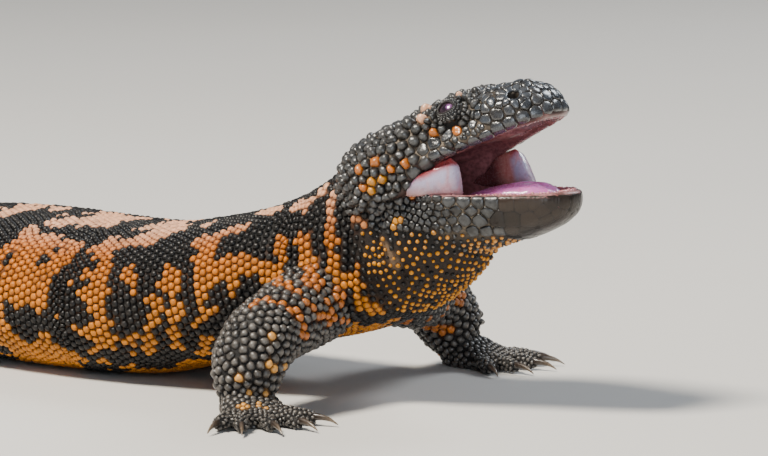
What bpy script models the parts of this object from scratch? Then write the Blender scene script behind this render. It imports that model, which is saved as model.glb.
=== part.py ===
# Gila monster, a still life-size display model in a defensive pose.
# The animal faces +X with its belly, tail, hands and feet on the floor, its chest pushed up on
# the forelegs, its head raised and its mouth wide open. -Y is the animal's right side.
# Sizes are written in millimetres and turned into metres where a mesh is made.

import math
import random

import bmesh
import bpy
from mathutils import Matrix, Vector
from mathutils.bvhtree import BVHTree

MM = 0.001
GAP = 0.3  # clearance between two pieces that touch
HALF_GAP = GAP / 2
UP = Vector((0, 0, 1))

# Head: everything is measured from the middle of the jaw joint, along the axis of each jaw
JAW_JOINT = Vector((95, 0, 53.5))
HEAD_YAW = math.radians(7)
UPPER_PITCH = math.radians(26)
LOWER_PITCH = math.radians(1.5)
GAPE_PITCH = (UPPER_PITCH + LOWER_PITCH) / 2
HEAD_SIDES = 28
HEAD_STEP = 4.4
HEAD_LEVEL = 0.35  # the widest level of the upper head, as a share of its height
JAW_LEVEL = 0.6
HEAD_TOP_POWER = 2.5  # roundness of the crown: 2 is an ellipse, more is squarer
LIP_POWER = 5.0
JAW_POWER = 2.3
LIP_LEVEL = 1.5  # height of both lip lines above the jaw axes

# along the axis, half width, top, bottom
UPPER_HEAD = (
    (-15.5, 12.0, 11.0, 1.0),
    (-12.5, 17.5, 14.8, -1.0),
    (-8.0, 21.3, 17.0, -2.6),
    (-1.0, 23.2, 18.0, -4.4),
    (6.0, 22.6, 17.8, -3.2),
    (12.0, 20.6, 17.2, 0.4),
    (18.0, 18.4, 16.8, LIP_LEVEL),
    (24.0, 16.6, 16.4, LIP_LEVEL),
    (30.0, 14.8, 15.0, LIP_LEVEL),
    (36.0, 12.9, 13.8, LIP_LEVEL),
    (40.5, 11.0, 12.8, LIP_LEVEL),
    (43.6, 8.6, 11.0, LIP_LEVEL),
    (45.4, 5.4, 8.4, 1.9),
    (46.0, 2.4, 6.0, 3.0),
)
LOWER_JAW = (
    (-11.0, 12.0, -3.0, -11.0),
    (-6.0, 18.0, -1.0, -15.0),
    (2.0, 20.2, 0.2, -16.5),
    (11.0, 19.0, LIP_LEVEL, -16.2),
    (20.0, 16.6, LIP_LEVEL, -14.6),
    (28.0, 14.2, LIP_LEVEL, -12.0),
    (34.5, 12.0, LIP_LEVEL, -10.0),
    (40.0, 9.6, LIP_LEVEL, -7.6),
    (43.6, 6.6, LIP_LEVEL, -5.2),
    (45.6, 3.0, 0.9, -2.4),
)
# Hollows of the mouth: along the axis, half width, far side of the hollow
PALATE = (
    (-4.0, 9.0, 4.5),
    (6.0, 13.0, 6.6),
    (14.0, 15.2, 6.8),
    (22.0, 13.6, 6.4),
    (30.0, 11.4, 5.8),
    (38.0, 9.2, 5.0),
    (43.0, 5.6, 3.6),
)
MOUTH_FLOOR = (
    (-4.0, 9.0, -6.0),
    (6.0, 13.0, -6.4),
    (14.0, 14.2, -5.6),
    (22.0, 13.0, -4.6),
    (30.0, 10.8, -3.8),
    (37.0, 8.4, -3.0),
    (42.0, 5.0, -1.6),
)
HOLLOW_REACH = 6.0  # of a hollow past the lips, to open it
HOLLOW_SIDES = 14
HOLLOW_STEP = 6.0
# Gullet: along the middle of the gape, half width, top, bottom
GULLET = (
    (-12.0, 6.0, 3.0, -3.0),
    (-6.0, 10.0, 4.8, -4.8),
    (2.0, 13.4, 6.4, -6.4),
    (12.0, 15.0, 8.2, -8.2),
    (26.0, 13.0, 9.5, -9.5),
)
TONGUE = (
    (8.0, 4.0, -3.2, -5.4),
    (13.0, 7.2, -1.2, -5.0),
    (21.0, 9.0, 1.4, -4.2),
    (29.0, 8.2, 3.0, -3.4),
    (35.0, 6.2, 3.0, -2.4),
    (39.2, 3.2, 1.5, -1.2),
)
# Cheek fold: along the jaw, how far inside the jaw's edge its middle runs, half thickness
CHEEK_FOLD = (
    (-3.0, 4.3, 1.7),
    (3.0, 4.3, 2.4),
    (9.0, 4.2, 2.7),
    (14.0, 4.3, 2.7),
    (17.6, 4.4, 2.3),
    (19.6, 4.6, 1.4),
)
FOLD_SLANT = 2.0  # its front edge runs this far back at the top and forward at the bottom
FOLD_SINK = 1.6  # into each jaw

EYE_AT = Vector((24.4, 12.3, 11.6))  # along the axis, to the side, above the axis
EYE_RADIUS = 3.3
EYE_ANGLE = math.radians(34)  # of the eye's level round the head, up from its widest level
LID_HALF_LENGTH = 3.9
LID_HALF_HEIGHT = 2.9
LID_THICK = 1.0
LID_POINTS = 14
LID_SIDES = 6
NOSTRIL_AT = Vector((39.6, 7.0, 10.8))
NOSTRIL_RADII = (1.2, 1.5, 0.9)
EAR_AT = Vector((-10.5, 20.3, 2.0))
EAR_RADII = (1.5, 2.6, 4.2)

# Plates of the head: raised scutes of five or six sides in staggered rows over the crown and cheeks,
# and one row of oblong ones along each lip. Their tops reach the sizes given above.
PLATE_RISE = 0.7
PLATE_SINK = 0.9
PLATE_PITCH = 6.0
PLATE_FILL = 0.5  # half its width, as a share of the pitch
PLATE_JITTER = 0.35
PLATE_ROWS = (-8.0, 40.0)  # along the head
PLATE_START = math.radians(4)  # of a row, up from the widest level
PLATE_TOP = 0.7  # size of the top, as a share of the foot
LIP_PLATE_TOP = 0.88
LIP_PLATES = 8
LIP_PLATE_FILL = 0.485
LIP_PLATE_ROWS = (13.0, 43.0)
LIP_PLATE_HEIGHT = 1.7
LIP_PLATE_RISE = 2.4  # of its middle from the lip line
CROWN_SHARE = 1.6  # length of a row over the crown, as a share of half its width and height together
CROWN_EVEN = 0.03
EYE_CLEAR = 6.2  # no plate's middle is nearer than this to the middle of the eye
NOSTRIL_CLEAR = 3.0
EAR_CLEAR = 4.6
SEED = 11

# Body tube, from the jaw joint to the tip of the tail:
# x, y, z of the middle, half width, height above it, depth below it
BODY = (
    (98.0, 0.2, 55.5, 18.0, 13.0, 22.5),
    (93.0, 0.0, 50.0, 19.6, 18.0, 23.8),
    (84.0, 0.0, 41.6, 21.2, 20.0, 22.4),
    (71.0, 0.0, 33.8, 23.5, 20.0, 19.4),
    (55.0, -1.5, 28.0, 27.0, 19.5, 17.2),
    (36.0, -3.5, 23.4, 30.0, 19.5, 17.8),
    (14.0, -5.0, 20.2, 32.5, 19.2, 20.4),
    (-12.0, -5.0, 19.0, 34.0, 20.0, 20.5),
    (-40.0, -3.0, 18.5, 34.0, 20.5, 20.0),
    (-66.0, 0.5, 18.0, 31.0, 19.5, 19.5),
    (-92.0, 5.0, 17.0, 25.5, 17.5, 18.0),
    (-114.0, 9.5, 16.0, 19.8, 15.5, 16.5),
    (-130.0, 13.0, 15.5, 17.6, 14.8, 16.0),
    (-148.0, 16.0, 15.0, 18.0, 15.2, 15.4),
    (-168.0, 17.4, 14.4, 17.8, 14.8, 14.8),
    (-187.0, 16.0, 13.0, 16.2, 13.6, 13.4),
    (-205.0, 11.6, 11.2, 13.4, 11.4, 11.6),
    (-218.0, 6.4, 9.2, 10.2, 8.8, 9.6),
    (-226.0, 2.2, 7.2, 7.0, 6.2, 7.6),
    (-230.5, -0.6, 5.6, 3.4, 3.4, 5.0),
)
BODY_SIDES = 28
BODY_STEP = 6.8  # spacing of the rings along the body
BACK_POWER = 2.15
BELLY_POWER = 2.5
BODY_PARTS = (  # node, x where it ends towards the tail
    ("neck", 82.0),
    ("torso_front", -8.0),
    ("torso_rear", -104.0),
    ("tail_base", -148.0),
    ("tail_middle", -190.0),
    ("tail_tip", -400.0),
)

# Limbs: x, distance from the midline, z, radius. The last point of each part starts the next
LIMB_SIDES = 14
LIMB_STEP = 5.0
LIMBS = {
    "arm_right": {
        "side": -1,
        "names": ("upper_arm_right", "forearm_right", "hand_right"),
        "upper": ((74, 9, 28, 7.6), (75.6, 17, 26, 10.4), (77.4, 28, 23.8, 10.4), (80, 39, 21.6, 9.6)),
        "lower": (
            (80, 39, 21.6, 9.6),
            (80.8, 45.4, 18.8, 9.8),
            (81.4, 49.4, 14.2, 9.6),
            (82, 51.2, 9.6, 8.8),
            (83, 52.4, 6.6, 7.4),
        ),
        "heading": -24.0,
        "reach": 1.0,
    },
    "arm_left": {
        "side": 1,
        "names": ("upper_arm_left", "forearm_left", "hand_left"),
        "upper": ((73, 9, 28, 7.6), (70, 18, 25.6, 10.4), (65, 29, 22.8, 10.4), (60.4, 38.5, 20.6, 9.6)),
        "lower": (
            (60.4, 38.5, 20.6, 9.6),
            (58.8, 45, 18.0, 9.7),
            (58.6, 49.2, 14.0, 9.5),
            (60.2, 51.4, 9.6, 8.7),
            (62.6, 52.8, 6.6, 7.3),
        ),
        "heading": 14.0,
        "reach": 1.0,
    },
    "leg_right": {
        "side": -1,
        "names": ("thigh_right", "shin_right", "foot_right"),
        "upper": ((-89, 8, 17, 10), (-84, 20, 17.6, 12.6), (-77, 33, 18.4, 11.6), (-71.5, 42, 18, 10.2)),
        "lower": (
            (-71.5, 42, 18.0, 10.2),
            (-70.6, 49.4, 16.0, 9.6),
            (-75, 54.8, 12.8, 9.0),
            (-81, 57.4, 9.2, 8.0),
            (-84.5, 59.0, 6.6, 6.8),
        ),
        "heading": -28.0,
        "reach": 1.16,
    },
    "leg_left": {
        "side": 1,
        "names": ("thigh_left", "shin_left", "foot_left"),
        "upper": ((-90, -2, 17, 10), (-91.5, 12, 17, 12.6), (-94.5, 27, 17, 11.6), (-98.5, 40, 16, 10.2)),
        "lower": (
            (-98.5, 40, 16.0, 10.2),
            (-102, 47.4, 14.6, 9.6),
            (-107.5, 52.6, 12.0, 9.0),
            (-112.5, 56.6, 9.0, 8.0),
            (-114.8, 59.6, 6.6, 6.8),
        ),
        "heading": 34.0,
        "reach": 1.16,
    },
}
# Palm: along the heading, half width, height, all from the wrist
PALM_SIDES = 14
PALM_LEVEL = 0.38  # its widest level, as a share of its height
PALM_PRESS = 0.4  # how far the sole would reach below the floor, which flattens it
PALM = ((-5.0, 5.2, 8.4), (1.0, 7.4, 9.0), (6.0, 8.8, 7.0), (10.0, 8.8, 5.2), (13.0, 7.0, 4.0))
TOES = (  # angle from the heading, start to the side, length
    (-46.0, -6.2, 6.6),
    (-22.0, -4.0, 9.4),
    (-2.0, -0.6, 10.4),
    (18.0, 3.0, 9.6),
    (44.0, 6.0, 6.8),
)
TOE_START = 7.0
TOE_SINK = 3.0  # length of a toe inside the palm
TOE_SHAPE = (  # share of the length, size, height of the middle above the floor, in toe radii
    (0.0, 0.9, 1.1),
    (0.3, 1.0, 1.15),
    (0.65, 1.0, 1.0),
    (0.9, 0.92, 0.86),
    (1.0, 0.72, 0.8),
)
TOE_RADIUS = 2.3
TOE_SIDES = 6
CLAW_LENGTH = 5.6
CLAW_RADIUS = 1.25
CLAW_SIDES = 5
CLAW_TAPER = 0.86
CLAW_HEIGHT = 1.9  # of its root above the floor
CLAW_ARCH = 0.5
CLAW_DROP = 1.3  # of its tip, below its root

BLACK_SKIN = (0.022, 0.020, 0.021, 1)
MOUTH_PINK = (0.62, 0.22, 0.24, 1)
TONGUE_PINK = (0.70, 0.22, 0.38, 1)
EYE_BLACK = (0.01, 0.008, 0.012, 1)
CLAW_HORN = (0.10, 0.07, 0.045, 1)


def clear_scene():
    for thing in list(bpy.data.objects):
        bpy.data.objects.remove(thing)


def finish_of(name, colour, roughness):
    found = bpy.data.materials.get(name)
    if found:
        return found
    made = bpy.data.materials.new(name)
    made.use_nodes = True
    shader = made.node_tree.nodes["Principled BSDF"]
    shader.inputs["Base Color"].default_value = colour
    shader.inputs["Roughness"].default_value = roughness
    return made


def skin():
    return finish_of("beaded_skin", BLACK_SKIN, 0.45)


def mouth_lining():
    return finish_of("mouth_lining", MOUTH_PINK, 0.3)


def smooth_rows(rows, step):
    """A Catmull-Rom curve through rows of numbers, sampled about every step along its first three."""
    before = [2 * a - b for a, b in zip(rows[0], rows[1])]
    after = [2 * a - b for a, b in zip(rows[-1], rows[-2])]
    padded = [before] + [list(row) for row in rows] + [after]
    made = []
    for i in range(1, len(padded) - 2):
        p0, p1, p2, p3 = padded[i - 1 : i + 3]
        count = max(1, round((Vector(p2[:3]) - Vector(p1[:3])).length / step))
        for k in range(count):
            t = k / count
            made.append([
                b + ((c - a) * t + (2 * a - 5 * b + 4 * c - d) * t**2 + (3 * b - a - 3 * c + d) * t**3) / 2
                for a, b, c, d in zip(p0, p1, p2, p3)
            ])
    made.append(list(rows[-1]))
    return made


def section(sides, half_width, up, down, top_power=2.2, bottom_power=2.4):
    """Points of one cross-section, as (to the left, upwards), starting at the left side."""
    points = []
    for k in range(sides):
        angle = 2 * math.pi * k / sides
        c, s = math.cos(angle), math.sin(angle)
        power = top_power if s >= 0 else bottom_power
        across = math.copysign(abs(c) ** (2 / power), c) * half_width
        height = abs(s) ** (2 / power) * (up if s >= 0 else -down)
        points.append((across, height))
    return points


def loft(name, rings, material, floor=False):
    """One closed body through rings of points, with a fan over each end."""
    mesh = bmesh.new()
    sides = len(rings[0])
    lines = []
    for ring in rings:
        if floor:
            ring = [Vector((p.x, p.y, max(p.z, 0.0))) for p in ring]
        lines.append([mesh.verts.new(p * MM) for p in ring])
    for a, b in zip(lines, lines[1:]):
        for k in range(sides):
            n = (k + 1) % sides
            mesh.faces.new((a[k], a[n], b[n], b[k]))
    for line in (lines[0], lines[-1]):
        middle = mesh.verts.new(sum((v.co for v in line), Vector()) / sides)
        for k in range(sides):
            mesh.faces.new((line[k], line[(k + 1) % sides], middle))
    bmesh.ops.recalc_face_normals(mesh, faces=mesh.faces)
    data = bpy.data.meshes.new(name)
    mesh.to_mesh(data)
    mesh.free()
    data.materials.append(material)
    data.shade_smooth()
    made = bpy.data.objects.new(name, data)
    bpy.context.scene.collection.objects.link(made)
    return made


def apply_boolean(target, operation, others, solver="EXACT"):
    """Joins or cuts target with closed meshes, which are then removed."""
    group = bpy.data.collections.new("pieces")
    bpy.context.scene.collection.children.link(group)
    for other in others:
        group.objects.link(other)
        bpy.context.scene.collection.objects.unlink(other)
    change = target.modifiers.new("join", "BOOLEAN")
    change.operand_type = "COLLECTION"
    change.collection = group
    change.operation = operation
    change.solver = solver
    graph = bpy.context.evaluated_depsgraph_get()
    result = bpy.data.meshes.new_from_object(target.evaluated_get(graph))
    target.modifiers.remove(change)
    target.data = result
    for other in list(group.objects):
        bpy.data.objects.remove(other)
    bpy.data.collections.remove(group)
    keep_largest(target)
    return target


def keep_largest(target):
    """Keeps only the closed surface with the most faces."""
    mesh = bmesh.new()
    mesh.from_mesh(target.data)
    bmesh.ops.remove_doubles(mesh, verts=mesh.verts, dist=0.002 * MM)
    left = set(mesh.verts)
    shells = []
    while left:
        shell, edge_of = set(), [left.pop()]
        while edge_of:
            vert = edge_of.pop()
            shell.add(vert)
            for edge in vert.link_edges:
                other = edge.other_vert(vert)
                if other in left:
                    left.remove(other)
                    edge_of.append(other)
        shells.append(shell)
    shells.sort(key=len)
    loose = [vert for shell in shells[:-1] for vert in shell]
    bmesh.ops.delete(mesh, geom=loose, context="VERTS")
    bmesh.ops.triangulate(mesh, faces=mesh.faces)
    mesh.to_mesh(target.data)
    mesh.free()
    target.data.shade_smooth()


class Axis:
    """A frame set at a point: forward, to the left and upwards."""

    def __init__(self, origin, forward):
        self.origin = Vector(origin)
        self.forward = Vector(forward).normalized()
        self.left = UP.cross(self.forward).normalized()
        self.up = self.forward.cross(self.left).normalized()

    def place(self, along, across, height):
        return self.origin + self.forward * along + self.left * across + self.up * height


def jaw_axis(pitch):
    heading = Vector((math.cos(HEAD_YAW), math.sin(HEAD_YAW), 0))
    return Axis(JAW_JOINT, heading * math.cos(pitch) + UP * math.sin(pitch))


UPPER = jaw_axis(UPPER_PITCH)
LOWER = jaw_axis(LOWER_PITCH)


def jaw_rings(axis, rows, grow=0.0, shape=(HEAD_LEVEL, HEAD_TOP_POWER, LIP_POWER), sides=HEAD_SIDES):
    """Cross-sections of a jaw. shape is the share of the height below the widest level, then two powers."""
    middle, top_power, bottom_power = shape
    rings = []
    for along, half_width, top, bottom in smooth_rows(rows, HEAD_STEP):
        level = bottom + (top - bottom) * middle
        up, down = top - level + grow, level - bottom + grow
        points = section(sides, half_width + grow, up, down, top_power, bottom_power)
        rings.append([axis.place(along, across, level + height) for across, height in points])
    return rings


def size_at(rows, along):
    """The sizes of a jaw at one place along it."""
    for low, high in zip(rows, rows[1:]):
        if low[0] <= along <= high[0]:
            share = (along - low[0]) / (high[0] - low[0])
            return [a + (b - a) * share for a, b in zip(low, high)]
    return list(rows[0] if along < rows[0][0] else rows[-1])


def tipped(rows, depth, chin=False):
    """Rows of a jaw drawn in by the depth of its plates, fading out towards the neck."""
    made = []
    for along, half_width, top, bottom in rows:
        share = min(max((along + 12) / 8, 0), 1) * depth
        made.append((along, half_width - share, top - (0 if chin else share), bottom))
    return made


def body_rings(grow=0.0):
    """The rings of the body tube, each with its own frame."""
    rows = smooth_rows(BODY, BODY_STEP)
    rings = []
    for i, row in enumerate(rows):
        before, after = rows[max(i - 1, 0)], rows[min(i + 1, len(rows) - 1)]
        axis = Axis(row[:3], Vector(before[:3]) - Vector(after[:3]))
        points = section(BODY_SIDES, row[3] + grow, row[4] + grow, row[5] + grow, BACK_POWER, BELLY_POWER)
        rings.append((axis, [axis.place(0, across, height) for across, height in points]))
    return rings


def moved(ring, by):
    return [p + by for p in ring]


def make_body():
    """The neck, torso and tail as lengths of one tube, parted by thin gaps."""
    rings = body_rings()
    parts, start = {}, 0
    for name, end_x in BODY_PARTS:
        stop = start + 1
        while stop < len(rings) - 1 and rings[stop][0].origin.x > end_x:
            stop += 1
        length = [ring for axis, ring in rings[start : stop + 1]]
        if start > 0:
            length[0] = moved(length[0], rings[start][0].forward * -HALF_GAP)
        if stop < len(rings) - 1:
            length[-1] = moved(length[-1], rings[stop][0].forward * HALF_GAP)
        parts[name] = loft(name, length, skin(), floor=True)
        start = stop
        if stop == len(rings) - 1:
            break
    return parts


def body_cutter():
    return loft("body_cutter", [ring for axis, ring in body_rings(GAP)], skin())


def mouth_cutter(axis, rows, depth_sign):
    """The hollow of one jaw, open on the side of the mouth."""
    rings = []
    for along, half_width, far in smooth_rows(rows, HOLLOW_STEP):
        open_side = LIP_LEVEL - HOLLOW_REACH * depth_sign
        level = (far + open_side) / 2
        reach = abs(far - open_side) / 2
        points = section(HOLLOW_SIDES, half_width, reach, reach, 2.6, 2.6)
        rings.append([axis.place(along, across, level + height) for across, height in points])
    return loft("mouth_cutter", rings, mouth_lining())


def throat_cutter():
    """The gullet, running back from the mouth between the jaws."""
    rings = jaw_rings(jaw_axis(GAPE_PITCH), GULLET, 0, (0.5, 2.2, 2.2), 16)
    return loft("throat_cutter", rings, mouth_lining())


def ball(name, centre, radii, material, segments=12, rings=7):
    mesh = bmesh.new()
    bmesh.ops.create_uvsphere(mesh, u_segments=segments, v_segments=rings, radius=1)
    place = Matrix.Diagonal((*[r * MM for r in radii], 1))
    bmesh.ops.transform(mesh, matrix=Matrix.Translation(centre * MM) @ place, verts=mesh.verts)
    data = bpy.data.meshes.new(name)
    mesh.to_mesh(data)
    mesh.free()
    data.materials.append(material)
    data.shade_smooth()
    made = bpy.data.objects.new(name, data)
    bpy.context.scene.collection.objects.link(made)
    return made


def head_place(place, side):
    return UPPER.place(place.x, place.y * side, place.z)


def head_skin(along, angle, rise=0.0):
    """A point of the head's surface, by its angle round the head from the left side upwards."""
    _, half_width, top, bottom = size_at(UPPER_HEAD, along)
    level = bottom + (top - bottom) * HEAD_LEVEL
    c, s = math.cos(angle), math.sin(angle)
    power = HEAD_TOP_POWER if s >= 0 else LIP_POWER
    across = math.copysign(abs(c) ** (2 / power), c) * (half_width + rise)
    height = math.copysign(abs(s) ** (2 / power), s) * ((top - level if s >= 0 else level - bottom) + rise)
    return UPPER.place(along, across, level + height)


def plate(middle, out, along, half_length, half_width, sides, turn, top=PLATE_TOP):
    """A low dome with straight sides, its root sunk into the skin."""
    along = (along - out * along.dot(out)).normalized()
    across = out.cross(along)
    corners = [turn + 2 * math.pi * k / sides for k in range(sides)]
    rings = []
    for height, share in ((-PLATE_SINK, 1), (PLATE_RISE, top)):
        rings.append([
            middle
            + along * math.cos(t) * half_length * share
            + across * math.sin(t) * half_width * share
            + out * height
            for t in corners
        ])
    return loft("plate", rings, skin())


def crown_plates(draw, trees):
    """Staggered rows of plates over the crown and cheeks, clear of the eyes, nostrils, ears and neck."""
    made = []
    rows = round((PLATE_ROWS[1] - PLATE_ROWS[0]) / (PLATE_PITCH * 0.88))
    for row in range(rows + 1):
        along = PLATE_ROWS[0] + (PLATE_ROWS[1] - PLATE_ROWS[0]) * row / rows
        _, half_width, top, bottom = size_at(UPPER_HEAD, along)
        crown = half_width + (top - bottom) * (1 - HEAD_LEVEL)
        count = max(3, round(crown * CROWN_SHARE / PLATE_PITCH))
        for column in range(count):
            share = (column + 0.5 + (0.25 if row % 2 else -0.25)) / count
            angle = PLATE_START + (math.pi - 2 * PLATE_START) * crown_share(share)
            place = along + draw.uniform(-1, 1) * PLATE_JITTER
            angle += draw.uniform(-1, 1) * PLATE_JITTER / half_width
            size = PLATE_PITCH * PLATE_FILL * draw.uniform(0.9, 1.12)
            sides = draw.choice((5, 6, 6))
            turn = draw.uniform(0, math.pi)
            middle, out, forward = head_frame(place, angle)
            if not clear_of_features(middle):
                continue
            if any(tree.find_nearest(middle * MM)[3] < (size + GAP * 2) * MM for tree in trees):
                continue
            made.append(plate(middle, out, forward, size, size * 0.94, sides, turn))
    return made


def crown_share(share):
    """Evens out the spacing round the squarish crown, where equal angles crowd the corners."""
    return share - math.sin(share * 4 * math.pi) * CROWN_EVEN


def head_frame(along, angle):
    """A point on the skin under the plates, the way out of it and the way forward on it."""
    middle = head_skin(along, angle, -PLATE_RISE)
    forward = (head_skin(along + 1, angle) - head_skin(along - 1, angle)).normalized()
    round_head = (head_skin(along, angle + 0.05) - head_skin(along, angle - 0.05)).normalized()
    return middle, forward.cross(round_head).normalized() * -1, forward


def clear_of_features(middle):
    for side in (-1, 1):
        for place, clear in ((EYE_AT, EYE_CLEAR), (NOSTRIL_AT, NOSTRIL_CLEAR), (EAR_AT, EAR_CLEAR)):
            if (middle - head_place(place, side)).length < clear:
                return False
    return True


def lip_plates(axis, rows, sign):
    """One row of oblong plates along each side of a lip. sign is 1 above the mouth and -1 below."""
    made = []
    length = (LIP_PLATE_ROWS[1] - LIP_PLATE_ROWS[0]) / LIP_PLATES
    for side in (-1, 1):
        for k in range(LIP_PLATES):
            along = LIP_PLATE_ROWS[0] + length * (k + 0.5)
            ahead, behind = size_at(rows, along + 1), size_at(rows, along - 1)
            height = LIP_LEVEL + LIP_PLATE_RISE * sign
            middle = axis.place(along, (size_at(rows, along)[1] - PLATE_RISE) * side, height)
            forward = axis.forward * 2 + axis.left * (ahead[1] - behind[1]) * side
            out = axis.left * forward.dot(axis.forward) - axis.forward * forward.dot(axis.left)
            corner = math.sqrt(2)
            size = (length * LIP_PLATE_FILL * corner, LIP_PLATE_HEIGHT * corner)
            made.append(plate(middle, out.normalized() * side, forward, *size, 4, math.pi / 4, LIP_PLATE_TOP))
    return made


def add_plates():
    """Joins the plates to the head and the lower jaw."""
    draw = random.Random(SEED)
    trees = []
    for name in ("neck", "lower_jaw"):
        data = bpy.data.objects[name].data
        faces = [p.vertices for p in data.polygons]
        trees.append(BVHTree.FromPolygons([v.co for v in data.vertices], faces))
    head, jaw = bpy.data.objects["head"], bpy.data.objects["lower_jaw"]
    apply_boolean(head, "UNION", crown_plates(draw, trees) + lip_plates(UPPER, UPPER_HEAD, 1))
    apply_boolean(jaw, "UNION", lip_plates(LOWER, LOWER_JAW, -1))


def lid(side):
    """A thick ring of skin that lies on the head round the eye."""
    rings = []
    for k in range(LID_POINTS):
        angle = 2 * math.pi * k / LID_POINTS
        along = EYE_AT.x + math.cos(angle) * LID_HALF_LENGTH
        around = EYE_ANGLE + math.sin(angle) * LID_HALF_HEIGHT / EYE_AT.y
        if side < 0:
            around = math.pi - around
        middle = head_skin(along, around)
        out = (head_skin(along, around, 1.0) - middle).normalized()
        spoke = (middle - head_skin(EYE_AT.x, EYE_ANGLE if side > 0 else math.pi - EYE_ANGLE)).normalized()
        rings.append([
            middle + spoke * math.cos(t) * LID_THICK + out * math.sin(t) * LID_THICK
            for t in [2 * math.pi * j / LID_SIDES for j in range(LID_SIDES)]
        ])
    return ring_solid("lid", rings)


def ring_solid(name, rings):
    """A closed loop of rings, such as a lid."""
    mesh = bmesh.new()
    lines = [[mesh.verts.new(p * MM) for p in ring] for ring in rings]
    for i, a in enumerate(lines):
        b = lines[(i + 1) % len(lines)]
        for k in range(len(a)):
            n = (k + 1) % len(a)
            mesh.faces.new((a[k], a[n], b[n], b[k]))
    bmesh.ops.recalc_face_normals(mesh, faces=mesh.faces)
    data = bpy.data.meshes.new(name)
    mesh.to_mesh(data)
    mesh.free()
    made = bpy.data.objects.new(name, data)
    bpy.context.scene.collection.objects.link(made)
    return made


def make_eye(name, side):
    centre = head_place(EYE_AT, side)
    return ball(name, centre, (EYE_RADIUS,) * 3, finish_of("eye", EYE_BLACK, 0.08))


def make_head():
    """The skull with the upper jaw, its palate hollowed and its eyes, nostrils and ears opened."""
    head = loft("head", jaw_rings(UPPER, tipped(UPPER_HEAD, PLATE_RISE)), skin())
    apply_boolean(head, "UNION", [lid(-1), lid(1)])
    cuts = [mouth_cutter(UPPER, PALATE, 1), throat_cutter()]
    for side in (-1, 1):
        cuts.append(ball("socket", head_place(EYE_AT, side), (EYE_RADIUS + GAP,) * 3, skin()))
        cuts.append(ball("nostril", head_place(NOSTRIL_AT, side), NOSTRIL_RADII, skin(), 8, 6))
        cuts.append(ball("ear", head_place(EAR_AT, side), EAR_RADII, skin(), 10, 8))
    apply_boolean(head, "DIFFERENCE", cuts)
    return head


def make_lower_jaw():
    rows = tipped(LOWER_JAW, PLATE_RISE, chin=True)
    jaw = loft("lower_jaw", jaw_rings(LOWER, rows, 0, (JAW_LEVEL, LIP_POWER, JAW_POWER)), skin())
    head = loft("head_cutter", jaw_rings(UPPER, UPPER_HEAD, GAP), skin())
    return apply_boolean(jaw, "DIFFERENCE", [mouth_cutter(LOWER, MOUTH_FLOOR, -1), throat_cutter(), head])


def make_tongue():
    rings = jaw_rings(LOWER, TONGUE, 0, (0.4, 2.5, 2.6), 14)
    return loft("tongue", rings, finish_of("tongue", TONGUE_PINK, 0.25))


def make_cheek_fold(name, side):
    """The skin stretched between the jaws at the corner of the mouth."""
    middle = jaw_axis(GAPE_PITCH)
    rings = []
    for along, inset, thick in smooth_rows(CHEEK_FOLD, 3.0):
        above, below = along - FOLD_SLANT, along + FOLD_SLANT
        high = UPPER.place(above, (size_at(UPPER_HEAD, above)[1] - inset) * side, LIP_LEVEL + FOLD_SINK)
        low = LOWER.place(below, (size_at(LOWER_JAW, below)[1] - inset) * side, LIP_LEVEL - FOLD_SINK)
        centre = (high + low) / 2
        half = (high - low) / 2
        points = section(14, thick, 1.0, 1.0, 3.0, 3.0)
        rings.append([centre + middle.left * side * across + half * height for across, height in points])
    fold = loft(name, rings, mouth_lining())
    return apply_boolean(fold, "DIFFERENCE", [solid_copy("head"), solid_copy("lower_jaw")])


def solid_copy(name):
    """A copy of a finished node, grown by the gap along its normals, to cut a neighbour with."""
    source = bpy.data.objects[name]
    mesh = bmesh.new()
    mesh.from_mesh(source.data)
    mesh.normal_update()
    places = [vert.co + vert.normal * GAP * MM for vert in mesh.verts]
    for vert, place in zip(mesh.verts, places):
        vert.co = place
    data = bpy.data.meshes.new(name + "_grown")
    mesh.to_mesh(data)
    mesh.free()
    made = bpy.data.objects.new(name + "_grown", data)
    bpy.context.scene.collection.objects.link(made)
    return made


def limb_rings(rows, side, sides=LIMB_SIDES):
    """Round rings along a limb, each turned with the limb."""
    path = smooth_rows([(x, y * side, z, r) for x, y, z, r in rows], LIMB_STEP)
    rings, turn = [], Vector((1, 0, 0))
    for i, row in enumerate(path):
        before, after = path[max(i - 1, 0)], path[min(i + 1, len(path) - 1)]
        along = (Vector(after[:3]) - Vector(before[:3])).normalized()
        turn = (turn - along * turn.dot(along)).normalized()
        other = along.cross(turn)
        centre, radius = Vector(row[:3]), row[3]
        rings.append((along, [
            centre + (turn * math.cos(t) + other * math.sin(t)) * radius
            for t in [2 * math.pi * k / sides for k in range(sides)]
        ]))
    return rings


def shared_end(limb):
    """The upper part's last ring, which the lower part starts from."""
    return limb_rings(limb["upper"] + limb["lower"][1:], limb["side"])


def make_limb(key):
    limb = LIMBS[key]
    side = limb["side"]
    upper_name, lower_name, foot_name = limb["names"]
    rings = shared_end(limb)
    joint = Vector((limb["lower"][0][0], limb["lower"][0][1] * side, limb["lower"][0][2]))
    split = min(range(len(rings)), key=lambda i: (sum(rings[i][1], Vector()) / LIMB_SIDES - joint).length)
    upper = [ring for along, ring in rings[: split + 1]]
    lower = [ring for along, ring in rings[split:]]
    upper[-1] = moved(upper[-1], rings[split][0] * -HALF_GAP)
    lower[0] = moved(lower[0], rings[split][0] * HALF_GAP)
    root = loft(upper_name, upper, skin(), floor=True)
    apply_boolean(root, "DIFFERENCE", [body_cutter()])
    shank = loft(lower_name, lower, skin(), floor=True)
    foot, claws = make_foot(foot_name, limb)
    apply_boolean(shank, "DIFFERENCE", [solid_copy(foot_name)])
    return [root, shank, foot] + claws


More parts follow.
